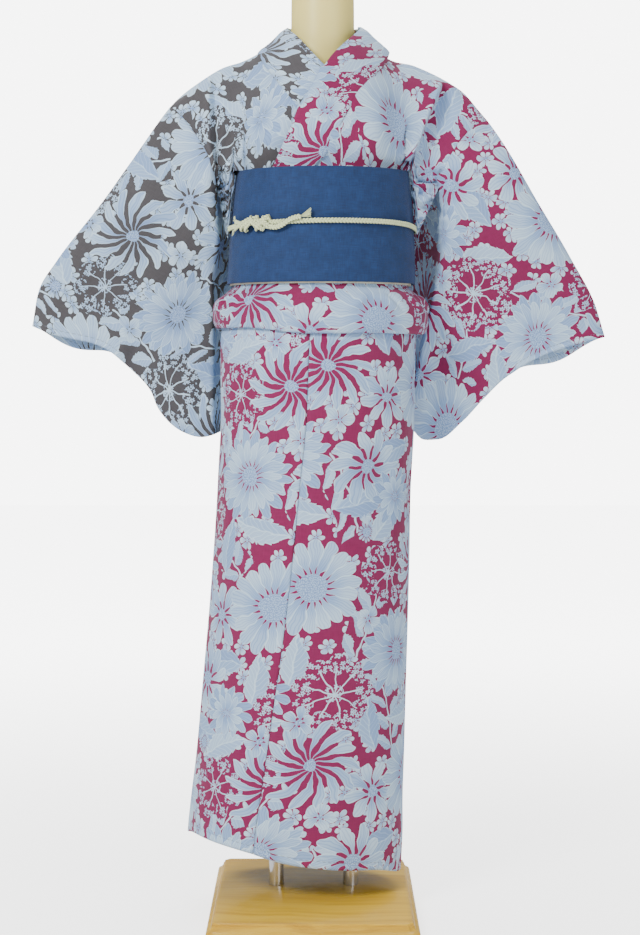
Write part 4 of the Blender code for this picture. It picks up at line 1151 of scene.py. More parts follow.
sleeves = {
    "right": {
        "top": ((-0.2526, 1.1404), (-0.3141, 1.0565), (-0.3861, 0.9695), (-0.4101, 0.9365),
                (-0.4266, 0.8744)),
        "outer": ((-0.4266, 0.8744), (-0.3973, 0.863), (-0.3102, 0.8375), (-0.2811, 0.812), (-0.2481, 0.776),
                  (-0.2377, 0.7505), (-0.2017, 0.7145), (-0.1717, 0.7055), (-0.1402, 0.715), (-0.115, 0.733)),
        "inner": ((-0.129, 1.103), (-0.108, 1.106), (-0.102, 1.04), (-0.098, 0.98), (-0.086, 0.92),
                  (-0.07, 0.88)),
        "bottom": ((-0.07, 0.88), (-0.072, 0.82), (-0.084, 0.77), (-0.115, 0.733)),
        "cuff": 0.37,
        "ridge": ((0.7, 0.152), (0.93, 0.152), (1.0, 0.1415), (1.05, 0.145), (1.1, 0.15)),
        "backDrop": 0.014,
        "creases": ((-0.17, 0.845, -0.215, 0.8, 0.01, -0.0035), (-0.16, 0.835, -0.19, 0.785, 0.009, 0.003),
                    (-0.18, 0.85, -0.26, 0.815, 0.012, 0.0028), (-0.158, 1.0, -0.155, 0.9, 0.009, 0.0026),
                    (-0.175, 0.985, -0.172, 0.88, 0.011, -0.0022), (-0.2, 1.12, -0.33, 0.93, 0.022, 0.0032),
                    (-0.175, 1.08, -0.29, 0.9, 0.02, -0.0026), (-0.23, 1.0, -0.25, 0.83, 0.02, 0.0022),
                    (-0.4, 0.93, -0.33, 0.86, 0.014, -0.0018), (-0.165, 0.8, -0.18, 0.725, 0.01, -0.0024)),
    },
    "left": {
        "top": ((0.2902, 1.1284), (0.3337, 1.0565), (0.3847, 0.9762), (0.4237, 0.911), (0.4423, 0.858)),
        "outer": ((0.4423, 0.858), (0.3915, 0.845), (0.3442, 0.8285), (0.2896, 0.794), (0.2572, 0.7618),
                  (0.2272, 0.7295), (0.1882, 0.7018), (0.1657, 0.7025), (0.15, 0.718), (0.13, 0.733)),
        "inner": ((0.174, 1.092), (0.142, 1.102), (0.129, 1.04), (0.124, 0.98), (0.112, 0.92),
                  (0.095, 0.88)),
        "bottom": ((0.095, 0.88), (0.097, 0.82), (0.106, 0.77), (0.13, 0.733)),
        "cuff": 0.4,
        "ridge": ((0.7, 0.142), (0.79, 0.154), (0.87, 0.171), (0.93, 0.182), (1.0, 0.194), (1.1, 0.194)),
        "backDrop": 0.018,
        "creases": ((0.2, 1.075, 0.3, 0.905, 0.018, 0.003), (0.215, 1.11, 0.35, 0.925, 0.02, -0.0026),
                    (0.225, 1.0, 0.262, 0.86, 0.016, -0.0024), (0.205, 0.93, 0.215, 0.79, 0.014, 0.0026),
                    (0.425, 0.905, 0.4, 0.85, 0.008, -0.0026), (0.18, 0.86, 0.19, 0.73, 0.011, -0.0026),
                    (0.165, 0.8, 0.172, 0.72, 0.008, 0.0022), (0.3, 0.98, 0.33, 0.85, 0.018, 0.002),
                    (0.198, 1.062, 0.232, 1.085, 0.006, -0.0025), (0.196, 1.05, 0.226, 1.04, 0.006, 0.002)),
    },
}
sleeve = {
    "along": 110, "across": 84, "wall": 0.001, "seamGap": 0.0006,
    # lines crowd together by so much toward the top fold and the bottom edge
    "crowd": 0.1305,
    # its middle layer by height, and how far and how quickly it goes back inside the ridge
    "y": ((0.7, 0.08), (0.8, 0.076), (0.88, 0.069), (0.93, 0.056), (1.0, 0.032), (1.1, 0.016)),
    "dive": 0.13, "diveReach": 0.036,
    # half the room between its walls at the armhole and at the cuff, rounded off over shares of the way
    # down at the top and bottom, and less in its lower part: by this share, from here, over this share
    "room": (0.026, 0.015), "topRound": 0.12, "bottomRound": 0.07, "narrowed": 0.62,
    "narrowedFrom": (0.3, 0.3),
    # below the cuff's opening its walls are sewn together
    "sewnRoom": 0.0008, "sewnBelowCuff": 0.05, "sewnAlong": (0.8, 0.2),
    # the armhole holds it along so much of its inner edge, and lets go over shares of that
    "armholeShare": 0.33, "heldUpTo": 0.8, "letGo": 0.35, "heldAlong": 0.3,
    # the front wall steps back just inside the ridge, by no more than a share of the room
    "step": 0.011, "stepShare": 0.8, "stepReach": 0.004, "stepFrom": (0.22, 0.06),
    # the front's and the back's unevenness, where along it the back hangs lower, and the hem's start
    "unevenness": (0.0013, 0.0015), "hangFrom": (0.75, 0.25), "cuffEdge": 0.0028,
}


def sleevePatch(side, s, t):
    # a patch blended from its four edges, P(s, t) = top (1 - t) + low t + inner (1 - s) + outer s - the same
    # blend of the four corners; s runs from the armhole to the cuff, t from the top fold to the bottom edge
    spec = sleeves[side]
    outward = -1 if side == "right" else 1
    armhole = []
    for share in np.linspace(0, 1, 9):
        x, z = bodyPoint(through(panelEdges[side]["armhole"], share), share)[[0, 2]]
        armhole.append((x + outward * sleeve["seamGap"], z))
    topEdge = along([armhole[0], *spec["top"]], s[:, 0])[:, None]
    lowEdge = along(spec["bottom"], s[:, 0])[:, None]
    innerEdge = along([*armhole, *spec["inner"]], t[0])[None]
    outerEdge = along(spec["outer"], t[0])[None]
    s3 = s[..., None]
    t3 = t[..., None]
    corners = (topEdge[:1] * (1 - s3) * (1 - t3) + topEdge[-1:] * s3 * (1 - t3)
               + lowEdge[:1] * (1 - s3) * t3 + lowEdge[-1:] * s3 * t3)
    flat = topEdge * (1 - t3) + lowEdge * t3 + innerEdge * (1 - s3) + outerEdge * s3 - corners
    # and the arm's direction, from the shoulder to the top of the cuff
    arm = np.array(spec["top"][-1]) - np.array(armhole[0])
    return flat[..., 0], flat[..., 1], arm / np.linalg.norm(arm)


def makeSleeve(side):
    # a flat tube: the patch gives x and z, and its front and back walls lie a room before and behind its
    # middle layer, y = middle(z) + dive * (1 - exp(-distance inside the ridge / reach))
    spec = sleeves[side]
    outward = -1 if side == "right" else 1
    s = np.linspace(0, 1, sleeve["along"])[:, None]
    t = np.linspace(0, 1, sleeve["across"])[None, :]
    t = t - sleeve["crowd"] * np.sin(2 * math.pi * t)
    x, z, arm = sleevePatch(side, s, t)
    inside = np.clip(through(spec["ridge"], z) - abs(x), 0, None)
    middleY = through(sleeve["y"], z) + sleeve["dive"] * (1 - np.exp(-inside / sleeve["diveReach"]))
    # quarter ovals at the top fold and the bottom edge
    topRound = np.sqrt(1 - (1 - np.clip(t / sleeve["topRound"], 0, 1)) ** 2)
    bottomRound = np.sqrt(1 - (1 - np.clip((1 - t) / sleeve["bottomRound"], 0, 1)) ** 2)
    edge = topRound * bottomRound
    room = (sleeve["room"][0] + (sleeve["room"][1] - sleeve["room"][0]) * s) * edge
    room = room * (1 - sleeve["narrowed"] * rising(t, *sleeve["narrowedFrom"]))
    sewn = rising(t, spec["cuff"], sleeve["sewnBelowCuff"]) * rising(s, *sleeve["sewnAlong"])
    leastRoom = sleeve["sewnRoom"] * np.minimum(edge * 3, 1)
    room = np.where(edge > 0, room * (1 - sewn) + leastRoom * sewn, 0)
    held = sleeve["armholeShare"]
    bound = 1 - rising(t, held * sleeve["heldUpTo"], held * sleeve["letGo"])
    bound = (1 - rising(s, 0, sleeve["heldAlong"])) * bound
    armholeDepth = np.where(t > 0, bodyDepth(x, z), 0)
    # folds fade toward every edge
    free = rising(s, 0, 0.1) * rising(t, 0, 0.1) * falling(t, 1, 0.06) * (1 - 0.6 * rising(s, 0.93, 0.07))
    frontUneven, backUneven = sleeve["unevenness"]
    folds = creaseHeight(x, z, spec["creases"]) + frontUneven * wander(x * 30, z * 24, 11)
    backFolds = creaseHeight(x + 0.012, z - 0.008, spec["creases"]) * 0.8
    backFolds = backFolds + backUneven * wander(x * 26, z * 22, 14)
    step = np.minimum(sleeve["step"], room * sleeve["stepShare"])
    step = step * (1 - np.exp(-inside / sleeve["stepReach"])) * rising(t, *sleeve["stepFrom"])
    frontY = (middleY - room + step) * (1 - bound) + (axisY - armholeDepth) * bound
    frontY = frontY - folds * free * (1 - sewn)
    backY = (middleY + room) * (1 - bound) + (axisY + armholeDepth) * bound
    backY = backY + backFolds * free * (1 - sewn)
    backY = np.maximum(backY, frontY + 2 * leastRoom)
    # the back wall hangs lower at the cuff's opening
    opening = np.sin(math.pi * np.clip(t / spec["cuff"], 0, 1)) ** 2
    hang = spec["backDrop"] * rising(s, *sleeve["hangFrom"]) * opening
    front = np.stack([x, frontY, z], axis=-1)
    back = np.stack([x, backY, z - hang], axis=-1)
    ring = np.concatenate([front, back[:, -2::-1]], axis=1).transpose(1, 0, 2)
    # the cloth's own metres: along the arm, and around it from the top fold
    alongArm = ring[..., 0] * arm[0] + ring[..., 2] * arm[1]
    run = runningLength(ring, 0)
    depth = np.minimum(run, run[-1:] - run)
    u = (alongArm - alongArm.min()) * outward
    shift = printShift["sleeve"][side]
    uv = np.stack([u + shift[0], -depth + shift[1]], axis=-1)
    fromCuff = runningLength(ring[:, ::-1], 1)[:, ::-1]
    openCuff = np.concatenate([t[0], t[0][-2::-1]])[:, None] < spec["cuff"]
    edgeAway = np.where(openCuff, fromCuff + sleeve["cuffEdge"], 1.0)
    piece = gridObject(f"{side}Sleeve", ring, halfCotton[side], uv, edgeAway, True, sleeve["wall"])
    return finishPiece(piece, (f"sleeve_{side}",))


skirt = {
    "columnPitch": 0.0031, "rows": 205, "backRows": 150, "hiddenRows": 90, "wall": 0.001,
    # the right half lies this far inside the left one
    "layer": 0.0046, "seamGap": 0.0006,
    # folds come in over this length beside a seam, which is drawn in by this depth over this width
    "seamCalm": 0.012, "seamDepth": 0.0007, "seamWidth": 0.003,
    # and they start below the waist fold
    "foldsBelow": (0.88, 0.05), "unevenness": 0.0007, "freeEdge": 0.005,
    # the overlap's free corner stands a little open, and the right back goes in under the overlap
    "cornerLift": 0.006, "cornerSide": (190, 15), "cornerBelow": (0.35, 0.3), "underFrom": (100, 50),
}
skirtCreases = (
    # soft lines down the front and round the sides: angle, height, angle, height, width, depth
    (205, 0.86, 214, 0.5, 0.02, 0.0016), (236, 0.86, 230, 0.62, 0.016, -0.0018),
    (283, 0.86, 268, 0.6, 0.018, 0.0016), (300, 0.84, 318, 0.55, 0.02, -0.0016),
    (330, 0.86, 322, 0.4, 0.02, 0.0018), (345, 0.8, 350, 0.3, 0.018, -0.0018),
    (252, 0.5, 248, 0.14, 0.014, -0.0012), (285, 0.42, 292, 0.12, 0.022, 0.0016),
    (310, 0.36, 305, 0.1, 0.018, -0.0014), (196, 0.45, 190, 0.14, 0.014, 0.0016),
    (375, 0.84, 382, 0.25, 0.024, 0.0022), (402, 0.84, 396, 0.3, 0.02, -0.002),
    (425, 0.8, 432, 0.2, 0.024, 0.002), (100, 0.84, 112, 0.25, 0.022, 0.002),
    (128, 0.84, 122, 0.3, 0.02, -0.002), (150, 0.8, 158, 0.22, 0.022, 0.0018),
)
meanRadius = 0.135


def aroundFigure(rows, radius):
    # creases given by angles, as lengths around a circle of the radius
    return [(math.radians(a) * radius, h, math.radians(b) * radius, k, w, d) for a, h, b, k, w, d in rows]


def skirtPanel(name, side, node, start, end, out, uvShift, rows, freeEdge=False):
    # P(u, v): angle between two edge curves, height from the waist to the hem line, on the skirt's oval.
    # Each depends on the other, so they are worked out in turn three times
    span = abs(through(end, 0.5) - through(start, 0.5))
    columns = max(12, int(math.radians(span) * meanRadius / skirt["columnPitch"]))
    across = np.linspace(0, 1, columns)[:, None]
    down = np.linspace(0, 1, rows)[None, :]
    z = np.zeros((columns, rows))
    for _ in range(3):
        angle = through(start, z) + (through(end, z) - through(start, z)) * across
        z = skirtTop + (through(hemLine, angle) - skirtTop) * down
    shift = out(angle, z) if callable(out) else out
    x, y = oval(angle, through(skirtRings, z), through(skirtRings, z, 2), through(skirtRings, z, 3), shift)
    points = np.stack([x, y, z], axis=-1)
    around = np.radians(angle) * meanRadius
    folds = creaseHeight(around, z, aroundFigure(skirtCreases, meanRadius))
    folds = folds + skirt["unevenness"] * wander(around * 30, z * 13, 21)
    fromSeam = np.minimum(across, 1 - across) * columns * skirt["columnPitch"]
    drawnIn = skirt["seamDepth"] * np.exp(-(fromSeam / skirt["seamWidth"]) ** 2)
    folds = folds * ease(fromSeam / skirt["seamCalm"]) * falling(z, *skirt["foldsBelow"])
    points = pushOut(points, folds - drawnIn)
    uv = np.stack([around + uvShift[0], z + uvShift[1]], axis=-1)
    edge = z - through(hemLine, angle)
    if freeEdge:
        edge = np.minimum(edge, across * columns * skirt["columnPitch"] + skirt["freeEdge"])
    piece = gridObject(name, points, halfCotton[side], uv, edge, wall=skirt["wall"])
    return finishPiece(piece, (node,))


def straight(angle):
    return ((0.0, angle), (1.0, angle))


def shifted(rows, step):
    return tuple((z, angle + step) for z, angle in rows)


def makeSkirt():
    seam = math.degrees(skirt["seamGap"] / 0.15)
    under = -skirt["layer"]
    full, back, hidden = skirt["rows"], skirt["backRows"], skirt["hiddenRows"]

    def overlapOut(angle, z):
        return skirt["cornerLift"] * falling(angle, *skirt["cornerSide"]) * falling(z, *skirt["cornerBelow"])

    def goingUnder(angle, _):
        return under * rising(angle, *skirt["underFrom"])

    frontSide = straight(352)
    panels = (
        # name, side, node, edge curves, how far out, shift of the print, rows, free edge
        ("leftOverlap", "left", "overlap_left", straight(175), shifted(overlapSeam, -seam), overlapOut,
         (0.05, 0.03), full, True),
        ("leftFront", "left", "front_left", overlapSeam, shifted(frontSide, -seam), 0.0, (0.0, 0.0), full),
        ("leftBack", "left", "back_left", frontSide, straight(450 - seam), 0.0, (0.11, 0.17), back),
        ("rightBack", "right", "back_right", straight(90), straight(187), goingUnder, (0.0, 0.05), back),
        ("rightFront", "right", "front_right", straight(187 + seam), straight(270), under, (0.1, 0.1),
         hidden),
        ("rightOverlap", "right", "overlap_right", straight(270 + seam), straight(322), under, (0.2, 0.2),
         hidden),
    )
    return [skirtPanel(*panel) for panel in panels]


waistFold = {
    "columnPitch": 0.0028, "radius": 0.145, "rows": 44, "wall": 0.001,
    # shares along the profile between which its folds show
    "foldsFrom": (0.3, 0.12), "foldsTo": (0.62, 0.1), "unevenness": 0.0012,
    # the lower edge rises by as much between these angles, and wanders
    "rise": 0.0085, "riseSide": (268, 45), "riseFrom": (150, 40), "edgeFrom": (0.3, 0.3),
    "edgeLimits": (-0.0008, 0.02),
}


def makeWaistFold(side, start, end, creases):
    # the body cloth turned up on itself: P(u, v) = oval(angle) on the fold's profile, v along the profile
    columns = int(math.radians(abs(end - start)) * 0.15 / waistFold["columnPitch"])
    angle = np.linspace(start, end, columns)[:, None]
    share = np.linspace(0, 1, waistFold["rows"])
    rows = along(waistFoldRows, share)[None]
    x, y = oval(angle, rows[..., 1], rows[..., 2], waistX)
    points = np.stack([x, y, np.broadcast_to(rows[..., 0], x.shape)], axis=-1)
    around = np.radians(angle) * waistFold["radius"] + 0 * x
    shown = falling(share, *waistFold["foldsTo"]) * rising(share, *waistFold["foldsFrom"])
    folds = creaseHeight(around, points[..., 2], aroundFigure(creases, waistFold["radius"]))
    folds = folds + waistFold["unevenness"] * wander(around * 55, points[..., 2] * 40, 31)
    points = pushOut(points, folds * shown)
    rise = waistFold["rise"] * falling(angle, *waistFold["riseSide"]) * rising(angle, *waistFold["riseFrom"])
    rise = rise + waistFold["unevenness"] * wander(around * 24, 0 * around, 33)
    points[..., 2] += np.clip(rise, *waistFold["edgeLimits"]) * rising(share, *waistFold["edgeFrom"])
    run = runningLength(points, 1)
    shift = printShift["waistFold"][side]
    uv = np.stack([around + shift[0], -run + shift[1]], axis=-1)
    piece = gridObject(f"{side}WaistFold", points, halfCotton[side], uv, 1.0, wall=waistFold["wall"])
    return finishPiece(piece, (f"waist_fold_{side}",))


leftFoldCreases = (
    (214, 0.93, 196, 0.872, 0.0045, -0.006), (222, 0.93, 208, 0.868, 0.005, 0.005),
    (232, 0.928, 224, 0.88, 0.0045, -0.004), (246, 0.928, 238, 0.88, 0.005, 0.0034),
    (258, 0.926, 252, 0.89, 0.004, -0.0026), (300, 0.922, 276, 0.878, 0.005, 0.0034),
    (310, 0.926, 322, 0.884, 0.005, -0.0036), (326, 0.93, 340, 0.886, 0.0045, 0.004),
    (338, 0.93, 352, 0.89, 0.0045, -0.0044), (350, 0.926, 364, 0.886, 0.005, 0.004),
    (276, 0.882, 318, 0.874, 0.0045, 0.0026), (385, 0.924, 398, 0.884, 0.008, 0.0026),
    (415, 0.922, 405, 0.886, 0.008, -0.0024),
)
rightFoldCreases = (
    (100, 0.922, 112, 0.884, 0.008, 0.0022), (128, 0.924, 120, 0.888, 0.008, -0.002),
    (150, 0.922, 160, 0.884, 0.007, 0.0022), (172, 0.92, 176, 0.886, 0.006, -0.002),
)


def obiOval(angle, z, out):
    return oval(angle, through(obiRings, z), through(obiRings, z, 2), through(obiRings, z, 3), out)


def obiSpiral(angle):
    # the outer lap lies one step further out after each full turn: out = step * (angle - 360) / 360
    return -obi["wall"] / 2 + obi["lapStep"] * (angle - 360) / 360


obiCreases = (
    # across the front beside the cord: angle, height, angle, height, width, depth
    (268, 1.028, 296, 1.03, 0.003, -0.0014), (272, 1.034, 300, 1.036, 0.004, 0.001),
    (274, 1.004, 300, 1.006, 0.004, 0.001), (312, 1.028, 338, 1.024, 0.0035, -0.001),
    (205, 1.022, 224, 1.028, 0.0035, -0.0012), (340, 1.085, 352, 0.96, 0.008, -0.0008),
    (192, 1.08, 200, 0.95, 0.008, 0.0008),
)
cordLine = (
    # angle round the figure, height
    (90, 1.02), (180, 1.0155), (195, 1.0168), (217, 1.019), (237, 1.0203), (260, 1.0217), (300, 1.0222),
    (335, 1.02), (360, 1.0155), (450, 1.02),
)
obiGrid = {
    # the inner lap, one closed ring this many steps further in, and the outer one from its first angle on
    "inner": (360, 30), "innerSteps": 1.7, "innerRadius": 0.13,
    "outer": (400, 64), "from": 62, "sweep": 392, "radius": 0.127,
    # creases stay off its edges and its two ends; the cord draws it in by this depth over this height
    "edgeCalm": 0.01, "onceFrom": (75, 8), "onceTo": (420, 8), "unevenness": 0.0004,
    "nip": 0.0006, "nipHeight": 0.006,
}


def makeObi():
    # two laps of one long band; P(u, v) = oval(angle, height), the cord draws it in a little
    columns, rows = obiGrid["inner"]
    angle = np.linspace(0, 360, columns)[:, None]
    z = np.linspace(obi["innerLow"], obi["top"] - 0.002, rows)[None, :]
    x, y = obiOval(angle, z, -obi["wall"] / 2 - obi["lapStep"] * obiGrid["innerSteps"])
    points = np.stack([x, y, np.broadcast_to(z, x.shape)], axis=-1)
    points[-1] = points[0]
    uv = np.stack([np.radians(angle) * obiGrid["innerRadius"] + 0 * z, z + 0 * angle], axis=-1)
    inner = gridObject("obiInnerLap", points, obiCream, uv, closedU=True, wall=obi["wall"])
    finishPiece(inner, ("obi_inner_lap",))

    columns, rows = obiGrid["outer"]
    angle = np.linspace(obiGrid["from"], obiGrid["from"] + obiGrid["sweep"], columns)[:, None]
    z = np.linspace(obi["low"], obi["top"], rows)[None, :]
    x, y = obiOval(angle, z, obiSpiral(angle))
    points = np.stack([x, y, np.broadcast_to(z, x.shape)], axis=-1)
    around = np.radians(angle) * obiGrid["radius"]
    folds = creaseHeight(around, z, aroundFigure(obiCreases, obiGrid["radius"]))
    folds = folds + obiGrid["unevenness"] * wander(around * 40, z * 30, 41)
    folds = folds * rising(z, obi["low"], obiGrid["edgeCalm"]) * falling(z, obi["top"], obiGrid["edgeCalm"])
    fromCord = z - through(cordLine, np.where(angle > 450, angle - 360, angle))
    nip = -obiGrid["nip"] * np.exp(-(fromCord / obiGrid["nipHeight"]) ** 2)
    once = rising(angle, *obiGrid["onceFrom"]) * falling(angle, *obiGrid["onceTo"])
    points = pushOut(points, (folds + nip) * once)
    uv = np.stack([around + 0 * z, z + 0 * angle], axis=-1)
    outer = gridObject("obiOuterLap", points, obiBlue, uv, wall=obi["wall"])
    finishPiece(outer, ("obi_outer_lap",))
    return inner, outer


cord = {
    "width": 0.008, "thickness": 0.0054, "strand": 0.0016, "strands": 3, "sides": 7, "pitch": 0.015,
    "clear": 0.0006, "steps": 900,
    # the knot lies between these angles
    "knot": (217, 237),
}


def cordPath(angle, lift=0.0, rise=0.0):
    # along the sash at the cord's height, half a cord out from its face
    turned = np.where(angle > 450, angle - 360, angle)
    face = obiSpiral(turned + 360 * (turned < 100)) + obi["wall"] / 2
    out = face + cord["thickness"] / 2 + cord["clear"] + lift
    z = through(cordLine, turned) + rise
    x, y = obiOval(turned, z, out)
    return np.stack([x, y, z], axis=-1)


def frameAlong(path):
    # unit tangent, outward and sideways directions for a path that lies against the sash
    tangent = np.gradient(path, axis=0)
    tangent /= np.linalg.norm(tangent, axis=1, keepdims=True)
    outward = (path - np.array([waistX, axisY, 0])) * np.array([1, 1, 0])
    outward -= tangent * np.sum(outward * tangent, axis=1, keepdims=True)
    outward /= np.linalg.norm(outward, axis=1, keepdims=True)
    return tangent, outward, np.cross(tangent, outward)


def tubeGrid(path, radius, sides):
    # rings of a round section: centre + r (cos a * side + sin a * out), closed round the section
    _, outward, across = frameAlong(path)
    turn = np.linspace(0, 2 * math.pi, sides + 1)
    radius = np.broadcast_to(np.asarray(radius, float), len(path))[:, None, None]
    ring = across[:, None] * np.cos(turn)[None, :, None] + outward[:, None] * np.sin(turn)[None, :, None]
    return path[:, None] + ring * radius


def joinTubes(name, tubes, node):
    # closed tubes as one mesh, their ends drawn to a point. The attribute says how high each ring lies, and
    # the cord's material turns it into painted shade
    vertices = []
    quads = []
    caps = []
    uvs = []
    lies = []
    base = 0
    for grid, lieForShade in tubes:
        body = grid[:, :-1]
        rings, sides = body.shape[:2]
        label = np.arange(rings * sides).reshape(rings, sides) + base
        turned = np.roll(label, -1, axis=1)
        first = base + rings * sides
        base = first + 2
        vertices.append(body.reshape(-1, 3))
        vertices.append(np.stack([body[0].mean(axis=0), body[-1].mean(axis=0)]))
        quads.append(np.stack([label[:-1], label[1:], turned[1:], turned[:-1]], axis=-1).reshape(-1, 4))
        caps.append(np.stack([label[0], turned[0], np.full(sides, first)], axis=-1))
        caps.append(np.stack([turned[-1], label[-1], np.full(sides, first + 1)], axis=-1))
        lies.append(np.concatenate([np.repeat(lieForShade, sides), lieForShade[[0, -1]]]))
        length = runningLength(body.mean(axis=1), 0)
        local = np.stack(np.broadcast_arrays(length[:, None], np.linspace(0, 0.006, sides)[None]), axis=-1)
        uvs.append(np.concatenate([local.reshape(-1, 2), np.zeros((2, 2))]))
    mesh = bpy.data.meshes.new(name)
    faces = np.concatenate(quads).tolist() + np.concatenate(caps).tolist()
    mesh.from_pydata(np.concatenate(vertices).tolist(), [], faces)
    layer = mesh.uv_layers.new(name="cloth")
    corner = np.empty(len(mesh.loops), np.int32)
    mesh.loops.foreach_get("vertex_index", corner)
    layer.data.foreach_set("uv", np.concatenate(uvs)[corner].astype(np.float32).ravel())
    held = mesh.attributes.new("lieForShade", "FLOAT", "POINT")
    held.data.foreach_set("value", np.concatenate(lies).astype(np.float32))
    mesh.shade_smooth()
    return finishPiece(linkPiece(name, mesh, strawCord), (node,))


def braidStrands(path, width, thickness, pitch, start=0.0):
    # flat plait: strand k runs at side = w sin(phase), out = h sin(2 phase), its phase 2 pi / strands on
    _, outward, across = frameAlong(path)
    length = runningLength(path, 0)
    tubes = []
    for strand in range(cord["strands"]):
        phase = 2 * math.pi * (length / pitch + strand / cord["strands"]) + start
        side = np.sin(phase) * (width / 2 - cord["strand"])
        out = np.sin(2 * phase) * (thickness / 2 - cord["strand"])
        line = path + across * side[:, None] + outward * out[:, None]
        # each strand with how high it lies, which the cord's colour turns into painted shade where it dives
        # under
        tubes.append((tubeGrid(line, cord["strand"] * 1.05, cord["sides"]), 0.5 + 0.5 * np.sin(2 * phase)))
    return tubes


knot = {
    "width": 0.0096, "thickness": 0.005, "pitch": 0.012,
    # each turn: share along the knot, lean, reach above and below the band
    "turns": ((0.1, 0.2, 0.0058), (0.34, 0.24, 0.0074), (0.56, -0.26, 0.008), (0.78, 0.22, 0.0074),
              (0.93, -0.14, 0.0064)),
    "passing": (0.0088, 0.005, 0.013),
}
longEnd = {
    "strand": (0.008, 0.0046, 0.013), "to": 258, "start": -0.004, "sag": 0.0036, "rise": 0.0096,
    "threads": 44, "radius": 0.00052, "fringeFrom": 257.6, "fringeSweep": 6.0,
    "fringeUp": 0.0056, "fringeFan": 0.0062, "fringeRise": 0.0058,
}
shortEnd = {
    "strand": (0.0066, 0.0042, 0.012), "sweep": 9, "tilt": 0.0054, "up": 0.0008, "lift": 0.0034,
    "threads": 22, "radius": 0.0005, "fringeSweep": 3.0, "fringeFan": 0.0036, "fringeRise": 0.0056,
}


def fringeThread(angle, lift, up, share, radius):
    # thinner toward its tip; its painted shade is darkest at the root and lifts, so it is paler toward the
    # tip
    return tubeGrid(cordPath(angle, lift, up), radius * (1 - 0.45 * share), 5), 0.5 + 0.4 * share


def makeKnot():
    # turns wrapped over the band, leaning to and fro, and one strand passing through them
    low, high = cord["knot"]
    tubes = []
    for share, lean, size in knot["turns"]:
        turn = np.linspace(-0.25, math.pi + 0.25, 60)
        here = low + (high - low) * (share + lean * np.cos(turn))
        path = cordPath(here, 0.006 * np.sin(turn) + 0.0012, size * np.cos(turn))
        tubes += braidStrands(path, knot["width"], knot["thickness"], knot["pitch"], start=share * 5)
    passing = np.linspace(low - 3, high + 2, 80)
    bulge = np.sin(np.linspace(0, math.pi, 80))
    tubes += braidStrands(cordPath(passing, 0.0052 * bulge + 0.001, 0.0018), *knot["passing"])
    joinTubes("cordKnot", tubes, "obijime_knot")


def makeLongEnd(rng):
    # it sags below the band, comes up across it and opens in a fringe
    angle = np.linspace(cord["knot"][1] - 2, longEnd["to"], 110)
    share = np.linspace(0, 1, 110)
    sag = longEnd["start"] - longEnd["sag"] * np.sin(math.pi * np.clip(share / 0.7, 0, 1))
    up = sag + longEnd["rise"] * ease(share * 1.5 - 0.5)
    tubes = braidStrands(cordPath(angle, 0.0034 + 0.0014 * ease(share), up), *longEnd["strand"])
    share = np.linspace(0, 1, 12)
    for fan in np.linspace(-1, 1, longEnd["threads"]):
        lift = 0.0044 + 0.0018 * rng.uniform(-1, 1) * share
        up = longEnd["fringeUp"] + longEnd["fringeFan"] * share * fan + longEnd["fringeRise"] * share
        up = up + rng.uniform(-0.0006, 0.0006)
        angle = longEnd["fringeFrom"] + (longEnd["fringeSweep"] + rng.uniform(-0.4, 0.4)) * share
        tubes.append(fringeThread(angle, lift, up, share, longEnd["radius"]))
    joinTubes("cordLongEnd", tubes, "obijime_long_end")


def makeShortEnd(rng):
    # it turns up and down beside the knot, each half in its own small fringe
    low = cord["knot"][0]
    tubes = []
    for tilt in (1.0, -1.0):
        share = np.linspace(0, 1, 50)
        lift = shortEnd["lift"] + 0.0012 * np.sin(share * math.pi)
        up = shortEnd["up"] + shortEnd["tilt"] * tilt * share
        tubes += braidStrands(cordPath(low - shortEnd["sweep"] * share, lift, up), *shortEnd["strand"])
        share = np.linspace(0, 1, 10)
        angle = low - shortEnd["sweep"] - shortEnd["fringeSweep"] * share
        for fan in np.linspace(-1, 1, shortEnd["threads"]):
            lift = shortEnd["lift"] + 0.0012 * rng.uniform(-1, 1) * share
            fanned = (shortEnd["fringeFan"] * fan + shortEnd["fringeRise"] * tilt) * share
            up = shortEnd["up"] + shortEnd["tilt"] * tilt + fanned + rng.uniform(-0.0005, 0.0005)
            tubes.append(fringeThread(angle, lift, up, share, shortEnd["radius"]))
    joinTubes("cordShortEnd", tubes, "obijime_short_end")


def makeCord():
    low, high = cord["knot"]
    angle = np.linspace(high - 0.5, low + 360.5, cord["steps"])
    band = braidStrands(cordPath(angle), cord["width"], cord["thickness"], cord["pitch"])
    joinTubes("cordBand", band, "obijime_band")
    makeKnot()
    rng = np.random.default_rng(7)
    makeLongEnd(rng)
    makeShortEnd(rng)


formRings = (
    # height, half width, half depth
    (0.7, 0.085, 0.07), (0.712, 0.1, 0.083), (0.76, 0.116, 0.095), (0.85, 0.12, 0.098),
    (0.94, 0.11, 0.088), (1.02, 0.103, 0.08), (1.1, 0.103, 0.079), (1.15, 0.117, 0.082),
    (1.185, 0.125, 0.072), (1.212, 0.114, 0.058), (1.235, 0.092, 0.05), (1.255, 0.064, 0.046),
    (1.275, 0.051, 0.046), (1.3, 0.0475, 0.047), (1.34, 0.0465, 0.047), (1.378, 0.046, 0.047),
)


def closedLoft(name, rings, material, nodes, sharp):
    # rings[level, corner, 3] skinned in order, its two ends closed by flat faces, edges over an angle sharp
    levels, corners = rings.shape[:2]
    index = np.arange(levels * corners).reshape(levels, corners)
    turned = np.roll(index, -1, axis=1)
    sides = np.stack([index[:-1], turned[:-1], turned[1:], index[1:]], axis=-1).reshape(-1, 4).tolist()
    ends = [index[0, ::-1].tolist(), index[-1].tolist()]
    mesh = bpy.data.meshes.new(name)
    mesh.from_pydata(rings.reshape(-1, 3).tolist(), [], sides + ends)
    mesh.shade_smooth()
    mesh.set_sharp_from_angle(angle=math.radians(sharp))
    return finishPiece(linkPiece(name, mesh, material), nodes)


